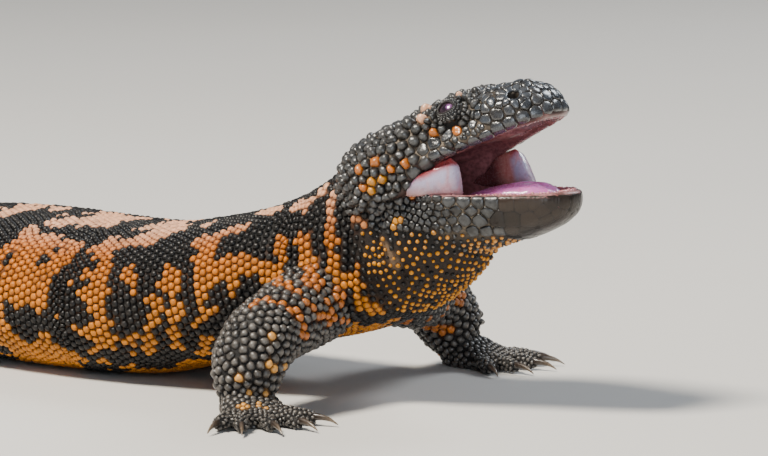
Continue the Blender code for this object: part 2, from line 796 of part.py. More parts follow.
def make_foot(name, limb):
    """A palm with five toes joined to it, and a claw on each toe."""
    side = limb["side"]
    wrist = Vector((limb["lower"][-1][0], limb["lower"][-1][1] * side, 0))
    angle = math.radians(limb["heading"])
    heading = Axis(wrist, (math.cos(angle), math.sin(angle), 0))
    reach = limb["reach"]
    rings = []
    for along, half_width, height in smooth_rows(PALM, 2.6):
        level = height * PALM_LEVEL
        points = section(PALM_SIDES, half_width * reach, height - level, level + PALM_PRESS, 2.2, 3.0)
        rings.append([heading.place(along * reach, across, level + rise) for across, rise in points])
    palm = loft(name, rings, skin(), floor=True)
    toes, claws = [], []
    for k, (spread, start, length) in enumerate(TOES):
        turned = Matrix.Rotation(math.radians(-spread * side), 3, "Z") @ heading.forward
        toe = Axis(heading.place(TOE_START * reach, -start * side * reach, 0), turned)
        toes.append(make_toe(toe, length * reach, reach))
        claws.append(make_claw(f"claw_{name}_{k + 1}", toe, length * reach, reach))
    apply_boolean(palm, "UNION", toes)
    return palm, claws


def make_toe(toe, length, reach):
    rings = []
    radius = TOE_RADIUS * reach
    for share, size, lift in TOE_SHAPE:
        points = section(TOE_SIDES, radius * size, radius * size, radius * size, 2, 2)
        rings.append([
            toe.place((length + TOE_SINK) * share, across, radius * lift + rise) for across, rise in points
        ])
    return loft("toe", rings, skin(), floor=True)


def make_claw(name, toe, length, reach):
    rings = []
    start = length + TOE_SINK + GAP
    for share in (0.0, 0.35, 0.7, 1.0):
        radius = CLAW_RADIUS * reach * (1 - CLAW_TAPER * share)
        height = CLAW_HEIGHT * reach + CLAW_ARCH * math.sin(math.pi * share) - CLAW_DROP * reach * share**2
        points = section(CLAW_SIDES, radius * 0.8, radius, radius, 2, 2)
        along = start + CLAW_LENGTH * reach * share
        rings.append([toe.place(along, across, height + rise) for across, rise in points])
    return loft(name, rings, finish_of("claw", CLAW_HORN, 0.35), floor=True)


def cut_neck(neck):
    cuts = [solid_copy("head"), solid_copy("lower_jaw"), throat_cutter()]
    return apply_boolean(neck, "DIFFERENCE", cuts)


def set_origin():
    """Moves every mesh so that the origin is the middle of the footprint, on the floor."""
    solids = [thing for thing in bpy.data.objects if thing.type == "MESH"]
    points = [vert.co for thing in solids for vert in thing.data.vertices]
    low = Vector([min(p[k] for p in points) for k in range(3)])
    high = Vector([max(p[k] for p in points) for k in range(3)])
    shift = Vector((-(low.x + high.x) / 2, -(low.y + high.y) / 2, -low.z))
    for thing in solids:
        thing.data.transform(Matrix.Translation(shift))


def main():
    clear_scene()
    body = make_body()
    make_head()
    make_lower_jaw()
    make_tongue()
    make_eye("eye_right", -1)
    make_eye("eye_left", 1)
    make_cheek_fold("cheek_fold_right", -1)
    make_cheek_fold("cheek_fold_left", 1)
    cut_neck(body["neck"])
    add_plates()
    for key in LIMBS:
        make_limb(key)
    set_origin()


main()
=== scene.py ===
import math

import bmesh
import bpy
import numpy as np
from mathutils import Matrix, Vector, noise
from mathutils.bvhtree import BVHTree
from mathutils.kdtree import KDTree


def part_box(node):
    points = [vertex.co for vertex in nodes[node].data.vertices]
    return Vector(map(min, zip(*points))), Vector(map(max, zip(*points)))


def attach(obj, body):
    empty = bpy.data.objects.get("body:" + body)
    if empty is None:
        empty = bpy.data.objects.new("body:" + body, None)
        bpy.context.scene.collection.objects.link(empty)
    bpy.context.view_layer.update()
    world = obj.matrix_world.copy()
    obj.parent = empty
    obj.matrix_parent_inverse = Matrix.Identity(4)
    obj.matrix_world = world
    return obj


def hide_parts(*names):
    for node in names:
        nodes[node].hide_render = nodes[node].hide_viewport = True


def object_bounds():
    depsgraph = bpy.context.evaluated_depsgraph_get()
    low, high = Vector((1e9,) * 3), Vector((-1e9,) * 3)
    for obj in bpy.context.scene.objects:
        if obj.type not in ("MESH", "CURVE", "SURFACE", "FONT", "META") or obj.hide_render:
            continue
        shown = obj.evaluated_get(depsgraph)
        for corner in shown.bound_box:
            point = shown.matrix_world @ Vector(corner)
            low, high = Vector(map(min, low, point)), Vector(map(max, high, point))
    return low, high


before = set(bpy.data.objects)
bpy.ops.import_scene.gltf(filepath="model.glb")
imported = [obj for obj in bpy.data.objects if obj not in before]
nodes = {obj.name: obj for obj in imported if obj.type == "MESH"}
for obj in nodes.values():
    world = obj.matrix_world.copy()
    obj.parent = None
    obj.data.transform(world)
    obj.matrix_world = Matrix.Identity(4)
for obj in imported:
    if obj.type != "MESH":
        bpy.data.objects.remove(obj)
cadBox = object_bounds()
scene = bpy.context.scene
mm = 0.001
tiny = 1e-9
up = Vector((0, 0, 1))
print("frame loaded:", len(nodes), "nodes")


# Places and axes

class Axes:
    def __init__(self, origin, forward):
        self.origin = Vector(origin)
        self.forward = Vector(forward).normalized()
        self.left = up.cross(self.forward).normalized()
        self.up = self.forward.cross(self.left)
        self.turn = np.array((self.forward, self.left, self.up))

    def place(self, along, across, height):
        return self.origin + self.forward * along + self.left * across + self.up * height

    def measure(self, places):  # along, to the left and upwards, for an array of places
        return (places - np.array(self.origin)) @ self.turn.T


def boxMiddle(node):
    low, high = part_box(node)
    return (low + high) / 2


# Both jaws' axes start at the jaw joint, which is worked out from where the eyes are
headPose = {
    "upperPitch": math.radians(26), "lowerPitch": math.radians(1.5), "eyeAlong": 24.4 * mm,
    "eyeAbove": 11.6 * mm,
}


def jawAxes():
    right, left = boxMiddle("eye_right"), boxMiddle("eye_left")
    ahead = (left - right).normalized().cross(up)
    pitch, lower = headPose["upperPitch"], headPose["lowerPitch"]
    upper = Axes((0, 0, 0), ahead * math.cos(pitch) + up * math.sin(pitch))
    joint = (left + right) / 2 - upper.forward * headPose["eyeAlong"] - upper.up * headPose["eyeAbove"]
    return Axes(joint, upper.forward), Axes(joint, ahead * math.cos(lower) + up * math.sin(lower))


upperJaw, lowerJaw = jawAxes()
gape = Axes(upperJaw.origin, upperJaw.forward + lowerJaw.forward)


# Camera and light

view = {
    "azimuth": math.radians(42), "elevation": math.radians(7), "distance": 1.3,
    "metresPerPixel": 0.25 * mm, "photoSize": (768, 456),
    "jointPixel": (424, 190),  # where the middle of the jaw joint shows in the photo
    "sensor": 36, "reach": 20,
}


def setCamera():
    az, el = view["azimuth"], view["elevation"]
    away = Vector((-math.sin(az) * math.cos(el), math.cos(az) * math.cos(el), -math.sin(el)))
    right = Vector((math.cos(az), math.sin(az), 0))
    above = right.cross(away)
    wide, tall = view["photoSize"]
    x, y = view["jointPixel"]
    pixel = view["metresPerPixel"]
    target = upperJaw.origin - right * (x - wide / 2) * pixel + above * (y - tall / 2) * pixel
    data = bpy.data.cameras.new("camera")
    data.sensor_width = view["sensor"]
    data.lens = view["sensor"] * view["distance"] / (wide * pixel)
    data.clip_end = view["reach"]
    camera = bpy.data.objects.new("camera", data)
    scene.collection.objects.link(camera)
    camera.location = target - away * view["distance"]
    camera.rotation_euler = away.to_track_quat("-Z", "Y").to_euler()
    scene.camera = camera

    def lineThrough(x, y):  # from the camera through a pixel of the photo
        spot = target + right * (x - wide / 2) * pixel - above * (y - tall / 2) * pixel
        return camera.location.copy(), (spot - camera.location).normalized()

    def pixelsOf(places):  # where places show in the photo
        gap = places - np.array(camera.location)
        scale = view["distance"] / (gap @ np.array(away)) / pixel
        return wide / 2 + gap @ np.array(right) * scale, tall / 2 - gap @ np.array(above) * scale

    return lineThrough, pixelsOf


light = {
    "lamps": (  # name, place from the middle of the model, size, watts, colour
        ("key", (-0.15, -0.75, 1.3), 0.4, 54, (1.0, 0.93, 0.81)),
        ("fill", (1.25, -0.85, 0.3), 0.9, 9, (0.84, 0.92, 1.0)),
        ("rim", (0.2, 1.3, 1.1), 0.7, 16, (0.90, 0.95, 1.0)),
    ),
    "sky": (0.74, 0.83, 0.96), "skyStrength": 0.21,
}


def setLights():
    middle = Vector((cadBox[0] + cadBox[1]) / 2)
    for name, offset, size, watts, colour in light["lamps"]:
        data = bpy.data.lights.new(name, "AREA")
        data.shape = "DISK"
        data.size = size
        data.energy = watts
        data.color = colour
        lamp = bpy.data.objects.new(name, data)
        scene.collection.objects.link(lamp)
        lamp.location = middle + Vector(offset)
        lamp.rotation_euler = (-Vector(offset)).to_track_quat("-Z", "Y").to_euler()
    world = bpy.data.worlds.new("studio")
    scene.world = world
    world.use_nodes = True
    back = world.node_tree.nodes["Background"]
    back.inputs["Color"].default_value = (*light["sky"], 1)
    back.inputs["Strength"].default_value = light["skyStrength"]


lineThrough, pixelsOf = setCamera()
setLights()
print("camera and lights set")


# Node maths: a wrapped socket that adds Math nodes for the operators used on it

class Value:
    def __init__(self, tree, socket):
        self.tree = tree
        self.socket = socket

    def node(self, kind, operation, others):
        made = self.tree.nodes.new(kind)
        made.operation = operation
        for slot, other in zip([s for s in made.inputs if s.enabled], (self, *others)):
            connect(self.tree, other, slot)
        return Value(self.tree, next(s for s in made.outputs if s.enabled))

    def maths(self, operation, *others):
        return self.node("ShaderNodeMath", operation, others)

    def vector(self, operation, *others):
        return self.node("ShaderNodeVectorMath", operation, others)

    def __add__(self, other):
        return self.maths("ADD", other)

    def __sub__(self, other):
        return self.maths("SUBTRACT", other)

    def __rsub__(self, other):
        return self.maths("MULTIPLY", -1.0).maths("ADD", other)

    def __mul__(self, other):
        return self.maths("MULTIPLY", other)

    def __truediv__(self, other):
        return self.maths("DIVIDE", other)

    __radd__ = __add__
    __rmul__ = __mul__

    def between(self, low, high):  # 0 at low, 1 at high and smooth between
        return addNode(self.tree, "ShaderNodeMapRange", {"interpolation_type": "SMOOTHSTEP"},
                       {"Value": self, "From Min": low, "From Max": high})


def connect(tree, value, slot):
    if isinstance(value, Value):
        tree.links.new(value.socket, slot)
    elif slot.type == "RGBA" and len(value) == 3:
        slot.default_value = (*value, 1)
    else:
        slot.default_value = value


def addNode(tree, kind, settings=None, values=None, output=None):
    made = tree.nodes.new(kind)
    for name, setting in (settings or {}).items():
        if name == "stops":
            ramp = made.color_ramp.elements
            while len(ramp) < len(setting):
                ramp.new(0.5)
            for element, (place, colour) in zip(ramp, setting):
                element.position = place
                element.color = (*colour, 1)
        else:
            setattr(made, name, setting)
    for name, value in (values or {}).items():
        if isinstance(name, int):
            slot = made.inputs[name]
        else:
            slot = next(s for s in made.inputs if s.name == name and s.enabled)
        connect(tree, value, slot)
    if output:
        return Value(tree, next(s for s in made.outputs if s.name == output and s.enabled))
    return Value(tree, next((s for s in made.outputs if s.enabled), None))


def newMaterial(name):
    material = bpy.data.materials.new(name)
    material.use_nodes = True
    tree = material.node_tree
    return material, tree, tree.nodes["Principled BSDF"]


def attribute(tree, name, output="Color"):
    return addNode(tree, "ShaderNodeAttribute", {"attribute_name": name}, output=output)


def mixed(tree, share, first, second, blend="MIX"):
    return addNode(tree, "ShaderNodeMix", {"data_type": "RGBA", "blend_type": blend},
                   {"Factor": share, "A": first, "B": second})


def grain(tree, size, detail=2.0, kind="ShaderNodeTexNoise", output=None):
    where = addNode(tree, "ShaderNodeTexCoord", output="Object")
    values = {"Vector": where, "Scale": 1 / size}
    if kind == "ShaderNodeTexNoise":
        values["Detail"] = detail
    return addNode(tree, kind, None, values, output)


def bump(tree, height, strength, depth):
    return addNode(tree, "ShaderNodeBump", None,
                   {"Height": height, "Strength": strength, "Distance": depth}, "Normal")


# Finishes

def setInputs(tree, shader, values):
    for name, value in values.items():
        connect(tree, value, shader.inputs[name])


# Painted light on the beads: the roots are darkened as painted shade, and the dark beads' tops are lightened
# with dust and a painted sheen, in patches
dustAndPaintedSheen = {"patches": (0.3, 0.65), "heights": (0.55, 1.0), "reds": (0.06, 0.3), "clearOfRed": 0.8,
           "roots": (0.05, 0.7)}
surface = {"fine": 0.6, "pits": 0.4, "streaked": 0.4, "streakShape": (1.0, 1.0, 0.1)}


def beadMaterial(name, facts):  # painted shade at the roots, dust and a painted sheen on the dark beads' tops, and fine relief
    material, tree, shader = newMaterial(name)
    tint = attribute(tree, "tint")
    rise = attribute(tree, "rise", "Fac")
    dustAndSheenPatches = grain(tree, facts["patch"], 3.0, output="Fac").between(*dustAndPaintedSheen["patches"])
    low = mixed(tree, 1.0, tint, facts["rootShade"], "MULTIPLY")
    colour = mixed(tree, rise.between(*dustAndPaintedSheen["roots"]), low, tint)
    red = addNode(tree, "ShaderNodeSeparateColor", None, {"Color": tint}, "Red").between(*dustAndPaintedSheen["reds"])
    # Dust and painted sheen: lighter on the tops of the dark beads, in noise patches, clear of the orange
    # ones
    dustAndSheen = dustAndSheenPatches * facts["dustAndSheen"] * rise.between(*dustAndPaintedSheen["heights"]) * (1.0 - red * dustAndPaintedSheen["clearOfRed"])
    fine = grain(tree, facts["grain"], output="Fac")
    height = fine * surface["fine"]
    height += grain(tree, facts["pits"], kind="ShaderNodeTexVoronoi", output="Distance") * surface["pits"]
    if "streaks" in facts:  # fine upright lines
        where = addNode(tree, "ShaderNodeTexCoord", output="Object")
        values = {"Vector": where.vector("MULTIPLY", surface["streakShape"]), "Scale": 1 / facts["streaks"]}
        lines = addNode(tree, "ShaderNodeTexNoise", None, values, "Fac")
        height = height * surface["streaked"] + lines
    setInputs(tree, shader, {
        "Base Color": mixed(tree, dustAndSheen, colour, facts["dustAndSheenTint"]),
        "Roughness": fine * facts["roughSpread"] + (facts["rough"] - facts["roughSpread"] / 2),
        "Coat Weight": facts["coat"],
        "Coat Roughness": facts["coatRough"],
        "Specular IOR Level": facts["shine"],
        "Normal": bump(tree, height, facts["bump"], facts["bumpDepth"]),
    })
    return material


beadFinish = {
    "patch": 3.5 * mm, "grain": 0.28 * mm, "pits": 0.55 * mm, "rootShade": (0.34, 0.26, 0.22),
    "dustAndSheen": 0.04, "dustAndSheenTint": (0.16, 0.12, 0.09), "rough": 0.38, "roughSpread": 0.3, "shine": 0.22,
    "coat": 0.14, "coatRough": 0.22, "bump": 0.9, "bumpDepth": 0.2 * mm,
}
# The limbs' strong dust on the bead tops is mostly a painted highlight
limbFinish = {
    "patch": 5.0 * mm, "grain": 0.28 * mm, "pits": 0.55 * mm, "rootShade": (0.3, 0.26, 0.24),
    "dustAndSheen": 0.75, "dustAndSheenTint": (0.165, 0.145, 0.125), "rough": 0.36, "roughSpread": 0.3, "shine": 0.4,
    "coat": 0.35, "coatRough": 0.2, "bump": 0.9, "bumpDepth": 0.2 * mm,
}
# The plates' tops take dust and a painted grey-blue sheen
plateFinish = {
    "patch": 2.2 * mm, "grain": 0.3 * mm, "pits": 0.7 * mm, "rootShade": (0.5, 0.42, 0.36),
    "dustAndSheen": 0.45, "dustAndSheenTint": (0.10, 0.105, 0.11), "rough": 0.34, "roughSpread": 0.3, "shine": 0.5,
    "coat": 0.4, "coatRough": 0.2, "bump": 0.7, "bumpDepth": 0.15 * mm,
}
# The snout's blue-grey tint on the plates' tops is a painted sky reflection
snoutFinish = {
    "patch": 2.8 * mm, "grain": 0.35 * mm, "pits": 0.8 * mm, "rootShade": (0.75, 0.72, 0.72),
    "dustAndSheen": 0.6, "dustAndSheenTint": (0.055, 0.068, 0.088), "rough": 0.26, "roughSpread": 0.2, "shine": 0.6,
    "coat": 0.7, "coatRough": 0.13, "bump": 0.8, "bumpDepth": 0.16 * mm,
}
chinFinish = {
    "patch": 4.5 * mm, "grain": 0.5 * mm, "pits": 0.9 * mm, "rootShade": (0.96, 0.95, 0.94),
    "dustAndSheen": 0.25, "dustAndSheenTint": (0.050, 0.032, 0.020), "rough": 0.36, "roughSpread": 0.2, "shine": 0.3,
    "coat": 0.16, "coatRough": 0.2, "bump": 0.9, "bumpDepth": 0.16 * mm, "streaks": 0.4 * mm,
}


skinFinish = {
    "mottle": 0.9 * mm, "mottleRange": (0.3, 0.75), "shade": (0.5, 0.45, 0.45), "grain": 0.35 * mm,
    "cells": 0.6 * mm, "rough": 0.62, "wetSmooth": 0.38, "roughSpread": 0.12, "wetCoat": 0.55,
    "coatRough": 0.12, "shine": 0.32, "fine": 0.5, "relief": 1.15, "bump": 0.6, "bumpDepth": 0.12 * mm,
}


def skinMaterial(facts):
    material, tree, shader = newMaterial("beadedSkin")
    tint = attribute(tree, "tint")
    wet = attribute(tree, "wet", "Fac")
    mottle = grain(tree, facts["mottle"], 4.0, output="Fac").between(*facts["mottleRange"])
    dark = mixed(tree, 1.0, tint, facts["shade"], "MULTIPLY")
    fine = grain(tree, facts["grain"], 3.0, output="Fac")
    cells = grain(tree, facts["cells"], kind="ShaderNodeTexVoronoi", output="Distance")
    height = (fine * facts["fine"] + cells) * (facts["relief"] - wet)
    setInputs(tree, shader, {
        "Base Color": mixed(tree, mottle, dark, tint),
        "Roughness": facts["rough"] - wet * facts["wetSmooth"] + fine * facts["roughSpread"],
        "Coat Weight": wet * facts["wetCoat"],
        "Coat Roughness": facts["coatRough"],
        "Specular IOR Level": facts["shine"],
        "Normal": bump(tree, height, facts["bump"], facts["bumpDepth"]),
    })
    return material


floorFinish = {"cloud": 0.4, "dark": (0.60, 0.58, 0.55), "pale": (0.66, 0.645, 0.62), "rough": 0.8}


def floorMaterial(facts):
    material, tree, shader = newMaterial("paleFloor")
    cloud = grain(tree, facts["cloud"], 3.0, output="Fac")
    setInputs(tree, shader, {"Base Color": mixed(tree, cloud, facts["dark"], facts["pale"]),
                             "Roughness": facts["rough"]})
    return material


def addObject(name, mesh, material=None):
    made = bpy.data.objects.new(name, mesh)
    scene.collection.objects.link(made)
    if material:
        mesh.materials.clear()
        mesh.materials.append(material)
    return made


def makeFloor(half=6.0):
    data = bpy.data.meshes.new("floor")
    corners = [(x * half, y * half, 0) for x, y in ((-1, -1), (1, -1), (1, 1), (-1, 1))]
    data.from_pydata(corners, [], [(0, 1, 2, 3)])
    addObject("floor", data, floorMaterial(floorFinish))


makeFloor()


# Mesh arrays

def readArray(items, field, width, kind=np.float32):
    values = np.empty(len(items) * width, kind)
    items.foreach_get(field, values)
    return values.reshape(-1, width) if width > 1 else values


def coordsOf(mesh):
    return readArray(mesh.vertices, "co", 3).astype(float)


def normalsOf(mesh):
    return readArray(mesh.vertex_normals, "vector", 3).astype(float)


def setCoords(mesh, places):
    mesh.vertices.foreach_set("co", places.astype(np.float32).ravel())
    mesh.update()


def setColours(mesh, name, values):
    layer = mesh.attributes.new(name, "FLOAT_COLOR", "POINT")
    full = np.ones((len(values), 4), np.float32)
    full[:, :3] = values
    layer.data.foreach_set("color", full.ravel())


def setValues(mesh, name, values, kind="FLOAT"):
    layer = mesh.attributes.new(name, kind, "POINT")
    field = "vector" if kind == "FLOAT_VECTOR" else "value"
    values = np.array(values, bool if kind == "BOOLEAN" else np.float32)
    layer.data.foreach_set(field, values.ravel())


def edgesOf(mesh):
    return readArray(mesh.edges, "vertices", 2, np.int32)


def trianglesOf(mesh):
    mesh.calc_loop_triangles()
    return readArray(mesh.loop_triangles, "vertices", 3, np.int32)


def smoothed(places, edges, weights, times):  # drawn towards the neighbours by the weight, or by each place's
    count = np.maximum(np.bincount(edges.ravel(), minlength=len(places)), 1)[:, None]
    for _ in range(times):
        total = np.zeros_like(places)
        for axis in range(places.shape[1]):
            total[:, axis] = np.bincount(edges[:, 0], places[edges[:, 1], axis], len(places))
            total[:, axis] += np.bincount(edges[:, 1], places[edges[:, 0], axis], len(places))
        places = places + (total / count - places) * np.reshape(weights, (-1, 1))
    return places


def ease(low, high, values):  # 0 below low, 1 above high and smooth between
    share = np.clip((values - low) / (high - low), 0, 1)
    return share * share * (3 - 2 * share)


def blend(first, second, share):  # of colours: the first where the share is 0, and the second where it is 1
    share = share[:, None]
    return np.array(first) * (1 - share) + np.array(second) * share


def noiseAt(places, size, shift):
    offset = Vector((shift, shift * 0.7, shift * 1.3))
    return np.array([noise.noise(Vector(p) / size + offset) for p in places])


def distanceTo(places, centre):
    return np.linalg.norm(places - np.array(centre), axis=1)


def segmentGaps(places, first, last):  # distance from a straight piece, and the share of the way along it
    way = last - first
    share = np.clip((places - first) @ way / max(way @ way, tiny), 0, 1)
    return np.linalg.norm(places - first - share[:, None] * way, axis=1), share


def lengthsAlong(line):
    return np.concatenate([[0], np.cumsum(np.linalg.norm(np.diff(line, axis=0), axis=1))])


def alongLine(where, lengths, line):
    return np.stack([np.interp(where, lengths, line[:, k]) for k in range(3)], -1)


def nearestTree(places):
    tree = KDTree(len(places))
    for k, place in enumerate(places):
        tree.insert(place, k)
    tree.balance()
    return tree


joinReach = 0.004 * mm


def mergedMesh(name):  # a CAD node's mesh with its loose triangles joined
    part = bmesh.new()
    part.from_mesh(nodes[name].data)
    bmesh.ops.remove_doubles(part, verts=part.verts, dist=joinReach)
    data = bpy.data.meshes.new(name)
    part.to_mesh(data)
    part.free()
    return data


def treeOf(mesh):
    return BVHTree.FromPolygons([tuple(p) for p in coordsOf(mesh)], trianglesOf(mesh).tolist())


def evaluatedMesh(thing):
    graph = bpy.context.evaluated_depsgraph_get()
    mesh = bpy.data.meshes.new_from_object(thing.evaluated_get(graph))
    bpy.data.objects.remove(thing)
    return mesh


def regrown(data, size):  # the same form as one closed mesh of even squares
    rough = addObject("rough", data)
    remesh = rough.modifiers.new("Remesh", "REMESH")
    remesh.mode = "VOXEL"
    remesh.voxel_size = size
    return evaluatedMesh(rough)


def ringFaces(count, sides, closed=False):  # between rings of places with the same number of sides
    faces = []
    for ring in range(count if closed else count - 1):
        first, after = ring * sides, (ring + 1) % count * sides
        for k in range(sides):
            side = (k + 1) % sides
            faces.append((first + k, first + side, after + side, after + k))
    return faces


# The body's axis runs from the nape to the tail's tip, through the middles of slices

bodyNodes = ("neck", "torso_front", "torso_rear", "tail_base", "tail_middle", "tail_tip")
axisFacts = {"step": 2 * mm, "rounds": 4, "average": 9, "startGap": 3 * mm, "endGap": 1.5 * mm,
             "reach": 6 * mm}
blockSize = 4000  # places measured at a time


class BodyAxis:
    def __init__(self):
        meshes = [mergedMesh(n) for n in bodyNodes]
        self.trees = [treeOf(m) for m in meshes]
        high = max(coordsOf(m)[:, 0].max() for m in meshes)
        low = min(coordsOf(m)[:, 0].min() for m in meshes)
        whole = np.concatenate([coordsOf(m) for m in meshes])
        stations = np.arange(high - axisFacts["startGap"], low + axisFacts["endGap"], -axisFacts["step"])
        middles = []
        for x in stations:
            near = whole[np.abs(whole[:, 0] - x) < axisFacts["reach"]]
            centre = Vector((x, *((near.min(axis=0) + near.max(axis=0)) / 2)[1:]))
            for _ in range(axisFacts["rounds"]):
                for way in (Vector((0, 1, 0)), up):
                    ahead, back = self.wall(centre, way), self.wall(centre, -way)
                    if ahead is not None and back is not None:
                        centre = centre + way * (ahead - back) / 2
            middles.append(centre)
        places = np.array(middles)
        width = axisFacts["average"]
        kernel = np.ones(width) / width
        ends = width // 2
        padded = np.concatenate([np.repeat(places[:1], ends, 0), places, np.repeat(places[-1:], ends, 0)])
        smooth = np.stack([np.convolve(padded[:, k], kernel, "valid") for k in range(3)], 1)
        smooth[:, 0] = places[:, 0]
        self.places = smooth
        self.arc = lengthsAlong(smooth)
        tangents = np.gradient(smooth, axis=0)
        self.tangents = tangents / np.linalg.norm(tangents, axis=1)[:, None]
        ups = np.array(up) - self.tangents * self.tangents[:, 2:3]
        self.ups = ups / np.linalg.norm(ups, axis=1)[:, None]
        self.rights = np.cross(self.ups, self.tangents)  # towards the animal's right

    def wall(self, origin, way):
        found = [tree.ray_cast(origin, way)[3] for tree in self.trees]
        found = [f for f in found if f is not None]
        return max(found) if found else None

    def at(self, arc):
        lines = (self.places, self.tangents, self.ups, self.rights)
        return [alongLine(arc, self.arc, line) for line in lines]

    def measure(self, places):  # arc from the nape, angle from the back towards the right, and radius
        arcs, angles, radii = [], [], []
        for block in np.array_split(places, max(1, len(places) // blockSize)):
            gaps = block[:, None, :] - self.places[None, :, :]
            best = (gaps ** 2).sum(axis=2).argmin(axis=1)
            gap = gaps[np.arange(len(block)), best]
            arcs.append(self.arc[best] + (gap * self.tangents[best]).sum(axis=1))
            high, side = (gap * self.ups[best]).sum(axis=1), (gap * self.rights[best]).sum(axis=1)
            angles.append(np.arctan2(side, high))
            radii.append(np.hypot(side, high))
        return np.concatenate(arcs), np.concatenate(angles), np.concatenate(radii)


bodyAxis = BodyAxis()
print("body axis:", round(bodyAxis.arc[-1] / mm), "mm long")


# Limb axes go through the middles of the rings where the limb's nodes meet

limbs = {
    "armRight": ("torso_front", "upper_arm_right", "forearm_right", "hand_right"),
    "armLeft": ("torso_front", "upper_arm_left", "forearm_left", "hand_left"),
    "legRight": ("torso_rear", "thigh_right", "shin_right", "foot_right"),
    "legLeft": ("torso_rear", "thigh_left", "shin_left", "foot_left"),
}


def meeting(first, second, reach=1.2 * mm, slack=0.3 * mm):  # the middle of where one node touches another
    other = treeOf(mergedMesh(second))
    places = coordsOf(mergedMesh(first))
    gaps = np.array([other.find_nearest(Vector(p))[3] for p in places])
    near = places[gaps < max(reach, gaps.min() + slack)]
    return Vector((near.min(axis=0) + near.max(axis=0)) / 2)


def limbPath(names, tipShare=0.8):
    trunk, top, middle, end = names
    joints = [meeting(top, trunk), meeting(middle, top), meeting(end, middle)]
    places = coordsOf(mergedMesh(end))
    reach = np.linalg.norm(places - np.array(joints[-1]), axis=1)
    joints.append(Vector(places[reach > reach.max() * tipShare].mean(axis=0)))
    return [np.array(j) for j in joints]


limbPaths = {key: limbPath(names) for key, names in limbs.items()}
print("limb paths:", len(limbPaths))


def limbMeasure(path, places):  # how many joints along a limb each place is
    gaps, shares = zip(*(segmentGaps(places, first, last) for first, last in zip(path, path[1:])))
    nearest = np.argmin(gaps, axis=0)
    return nearest + np.array(shares)[nearest, np.arange(len(places))]


# Which CAD node each place belongs to

fleshNodes = sorted(n for n in nodes if not n.startswith(("eye_", "claw_", "tongue", "cheek_")))


def joinedFlesh(push):
    whole = bmesh.new()
    owners = []
    for number, name in enumerate(fleshNodes):
        data = mergedMesh(name)
        if push:
            setCoords(data, coordsOf(data) + normalsOf(data) * push)
        data.calc_loop_triangles()
        owners += [number] * len(data.polygons)
        whole.from_mesh(data)
        bpy.data.meshes.remove(data)
    data = bpy.data.meshes.new("flesh")
    whole.to_mesh(data)
    whole.free()
    return data, np.array(owners)


def ownersOf(places):
    return np.array([fleshOwners[fleshTree.find_nearest(Vector(p))[2]] for p in places])


fleshData, fleshOwners = joinedFlesh(0)
fleshTree = BVHTree.FromPolygons([tuple(v.co) for v in fleshData.vertices],
                                 [tuple(p.vertices) for p in fleshData.polygons])


limbNodes = ("upper_arm", "forearm", "thigh", "shin")


def isNode(owners, *starts):
    wanted = [k for k, name in enumerate(fleshNodes) if name.startswith(starts)]
    return np.isin(owners, wanted)


# The inside of the mouth, in millimetres along each jaw's axis from the jaw joint

mouth = {
    "palate": (  # along, half width and height
        (-4, 9, 4.5), (6, 13, 6.6), (14, 15.2, 6.8), (22, 13.6, 6.4), (30, 11.4, 5.8), (38, 9.2, 5),
        (43, 5.6, 3.6),
    ),
    "floor": (
        (-4, 9, -6), (6, 13, -6.4), (14, 14.2, -5.6), (22, 13, -4.6), (30, 10.8, -3.8), (37, 8.4, -3),
        (42, 5, -1.6),
    ),
    "gullet": ((-12, 6, 3), (-6, 10, 4.8), (2, 13.4, 6.4), (12, 15, 8.2), (26, 13, 9.5)),
    "palateSpan": (-4, 45), "floorSpan": (-4, 44), "gulletSpan": (-13, 24), "height": 6 * mm,
    "margin": 0.9 * mm, "lipLevel": 1.5 * mm, "rimBack": 4 * mm,
    "upperRim": (-2.5 * mm, 0.2 * mm),  # above this height, and below the lips' level and this more
    "lowerRim": (0.5 * mm, 1 * mm),
    "facing": -0.3,  # the least share that faces the mouth, inside it and on its rims
    "rimFacing": 0.55, "lipBand": 4 * mm,
}


def alongTable(rows, along, column):
    table = np.array(rows)
    return np.interp(along, table[:, 0] * mm, table[:, column] * mm)


def within(along, span):
    return (along > span[0] * mm) & (along < span[1] * mm)


def mouthShares(places, normals):  # which places are in the mouth, and which on the lips' undersides
    margin, height, facing, rimFacing = (mouth[k] for k in ("margin", "height", "facing", "rimFacing"))
    top, low, mid = upperJaw.measure(places), lowerJaw.measure(places), gape.measure(places)
    down = -(normals @ np.array(upperJaw.up))
    rise = normals @ np.array(lowerJaw.up)
    roof = within(top[:, 0], mouth["palateSpan"]) & (top[:, 2] > -height) & (down > facing)
    roof &= np.abs(top[:, 1]) < alongTable(mouth["palate"], top[:, 0], 1) + margin
    roof &= top[:, 2] < alongTable(mouth["palate"], top[:, 0], 2) + margin
    floor = within(low[:, 0], mouth["floorSpan"]) & (low[:, 2] < height) & (rise > facing)
    floor &= np.abs(low[:, 1]) < alongTable(mouth["floor"], low[:, 0], 1) + margin
    floor &= low[:, 2] > alongTable(mouth["floor"], low[:, 0], 2) - margin
    reach = np.hypot(mid[:, 1] / (alongTable(mouth["gullet"], mid[:, 0], 1) + margin),
                     mid[:, 2] / (alongTable(mouth["gullet"], mid[:, 0], 2) + margin))
    inside = roof | floor | (within(mid[:, 0], mouth["gulletSpan"]) & (reach < 1))
    rims = []
    for measured, faced, (least, past) in ((top, down, mouth["upperRim"]), (low, rise, mouth["lowerRim"])):
        rim = (measured[:, 0] > mouth["rimBack"]) & (measured[:, 2] > least) & (faced > rimFacing)
        rims.append(rim & (measured[:, 2] < mouth["lipLevel"] + past) & ~inside)
    return inside, *rims, mid[:, 0]


def underLip(places, normals, owners):
    top = upperJaw.measure(places)
    below = isNode(owners, "head") & (top[:, 0] > mouth["lipBand"]) & (top[:, 2] < mouth["lipBand"])
    return below & (normals @ np.array(upperJaw.up) < mouth["facing"])


# Markings: black with peach and orange, in blotches from noise, or along measured lines where these show

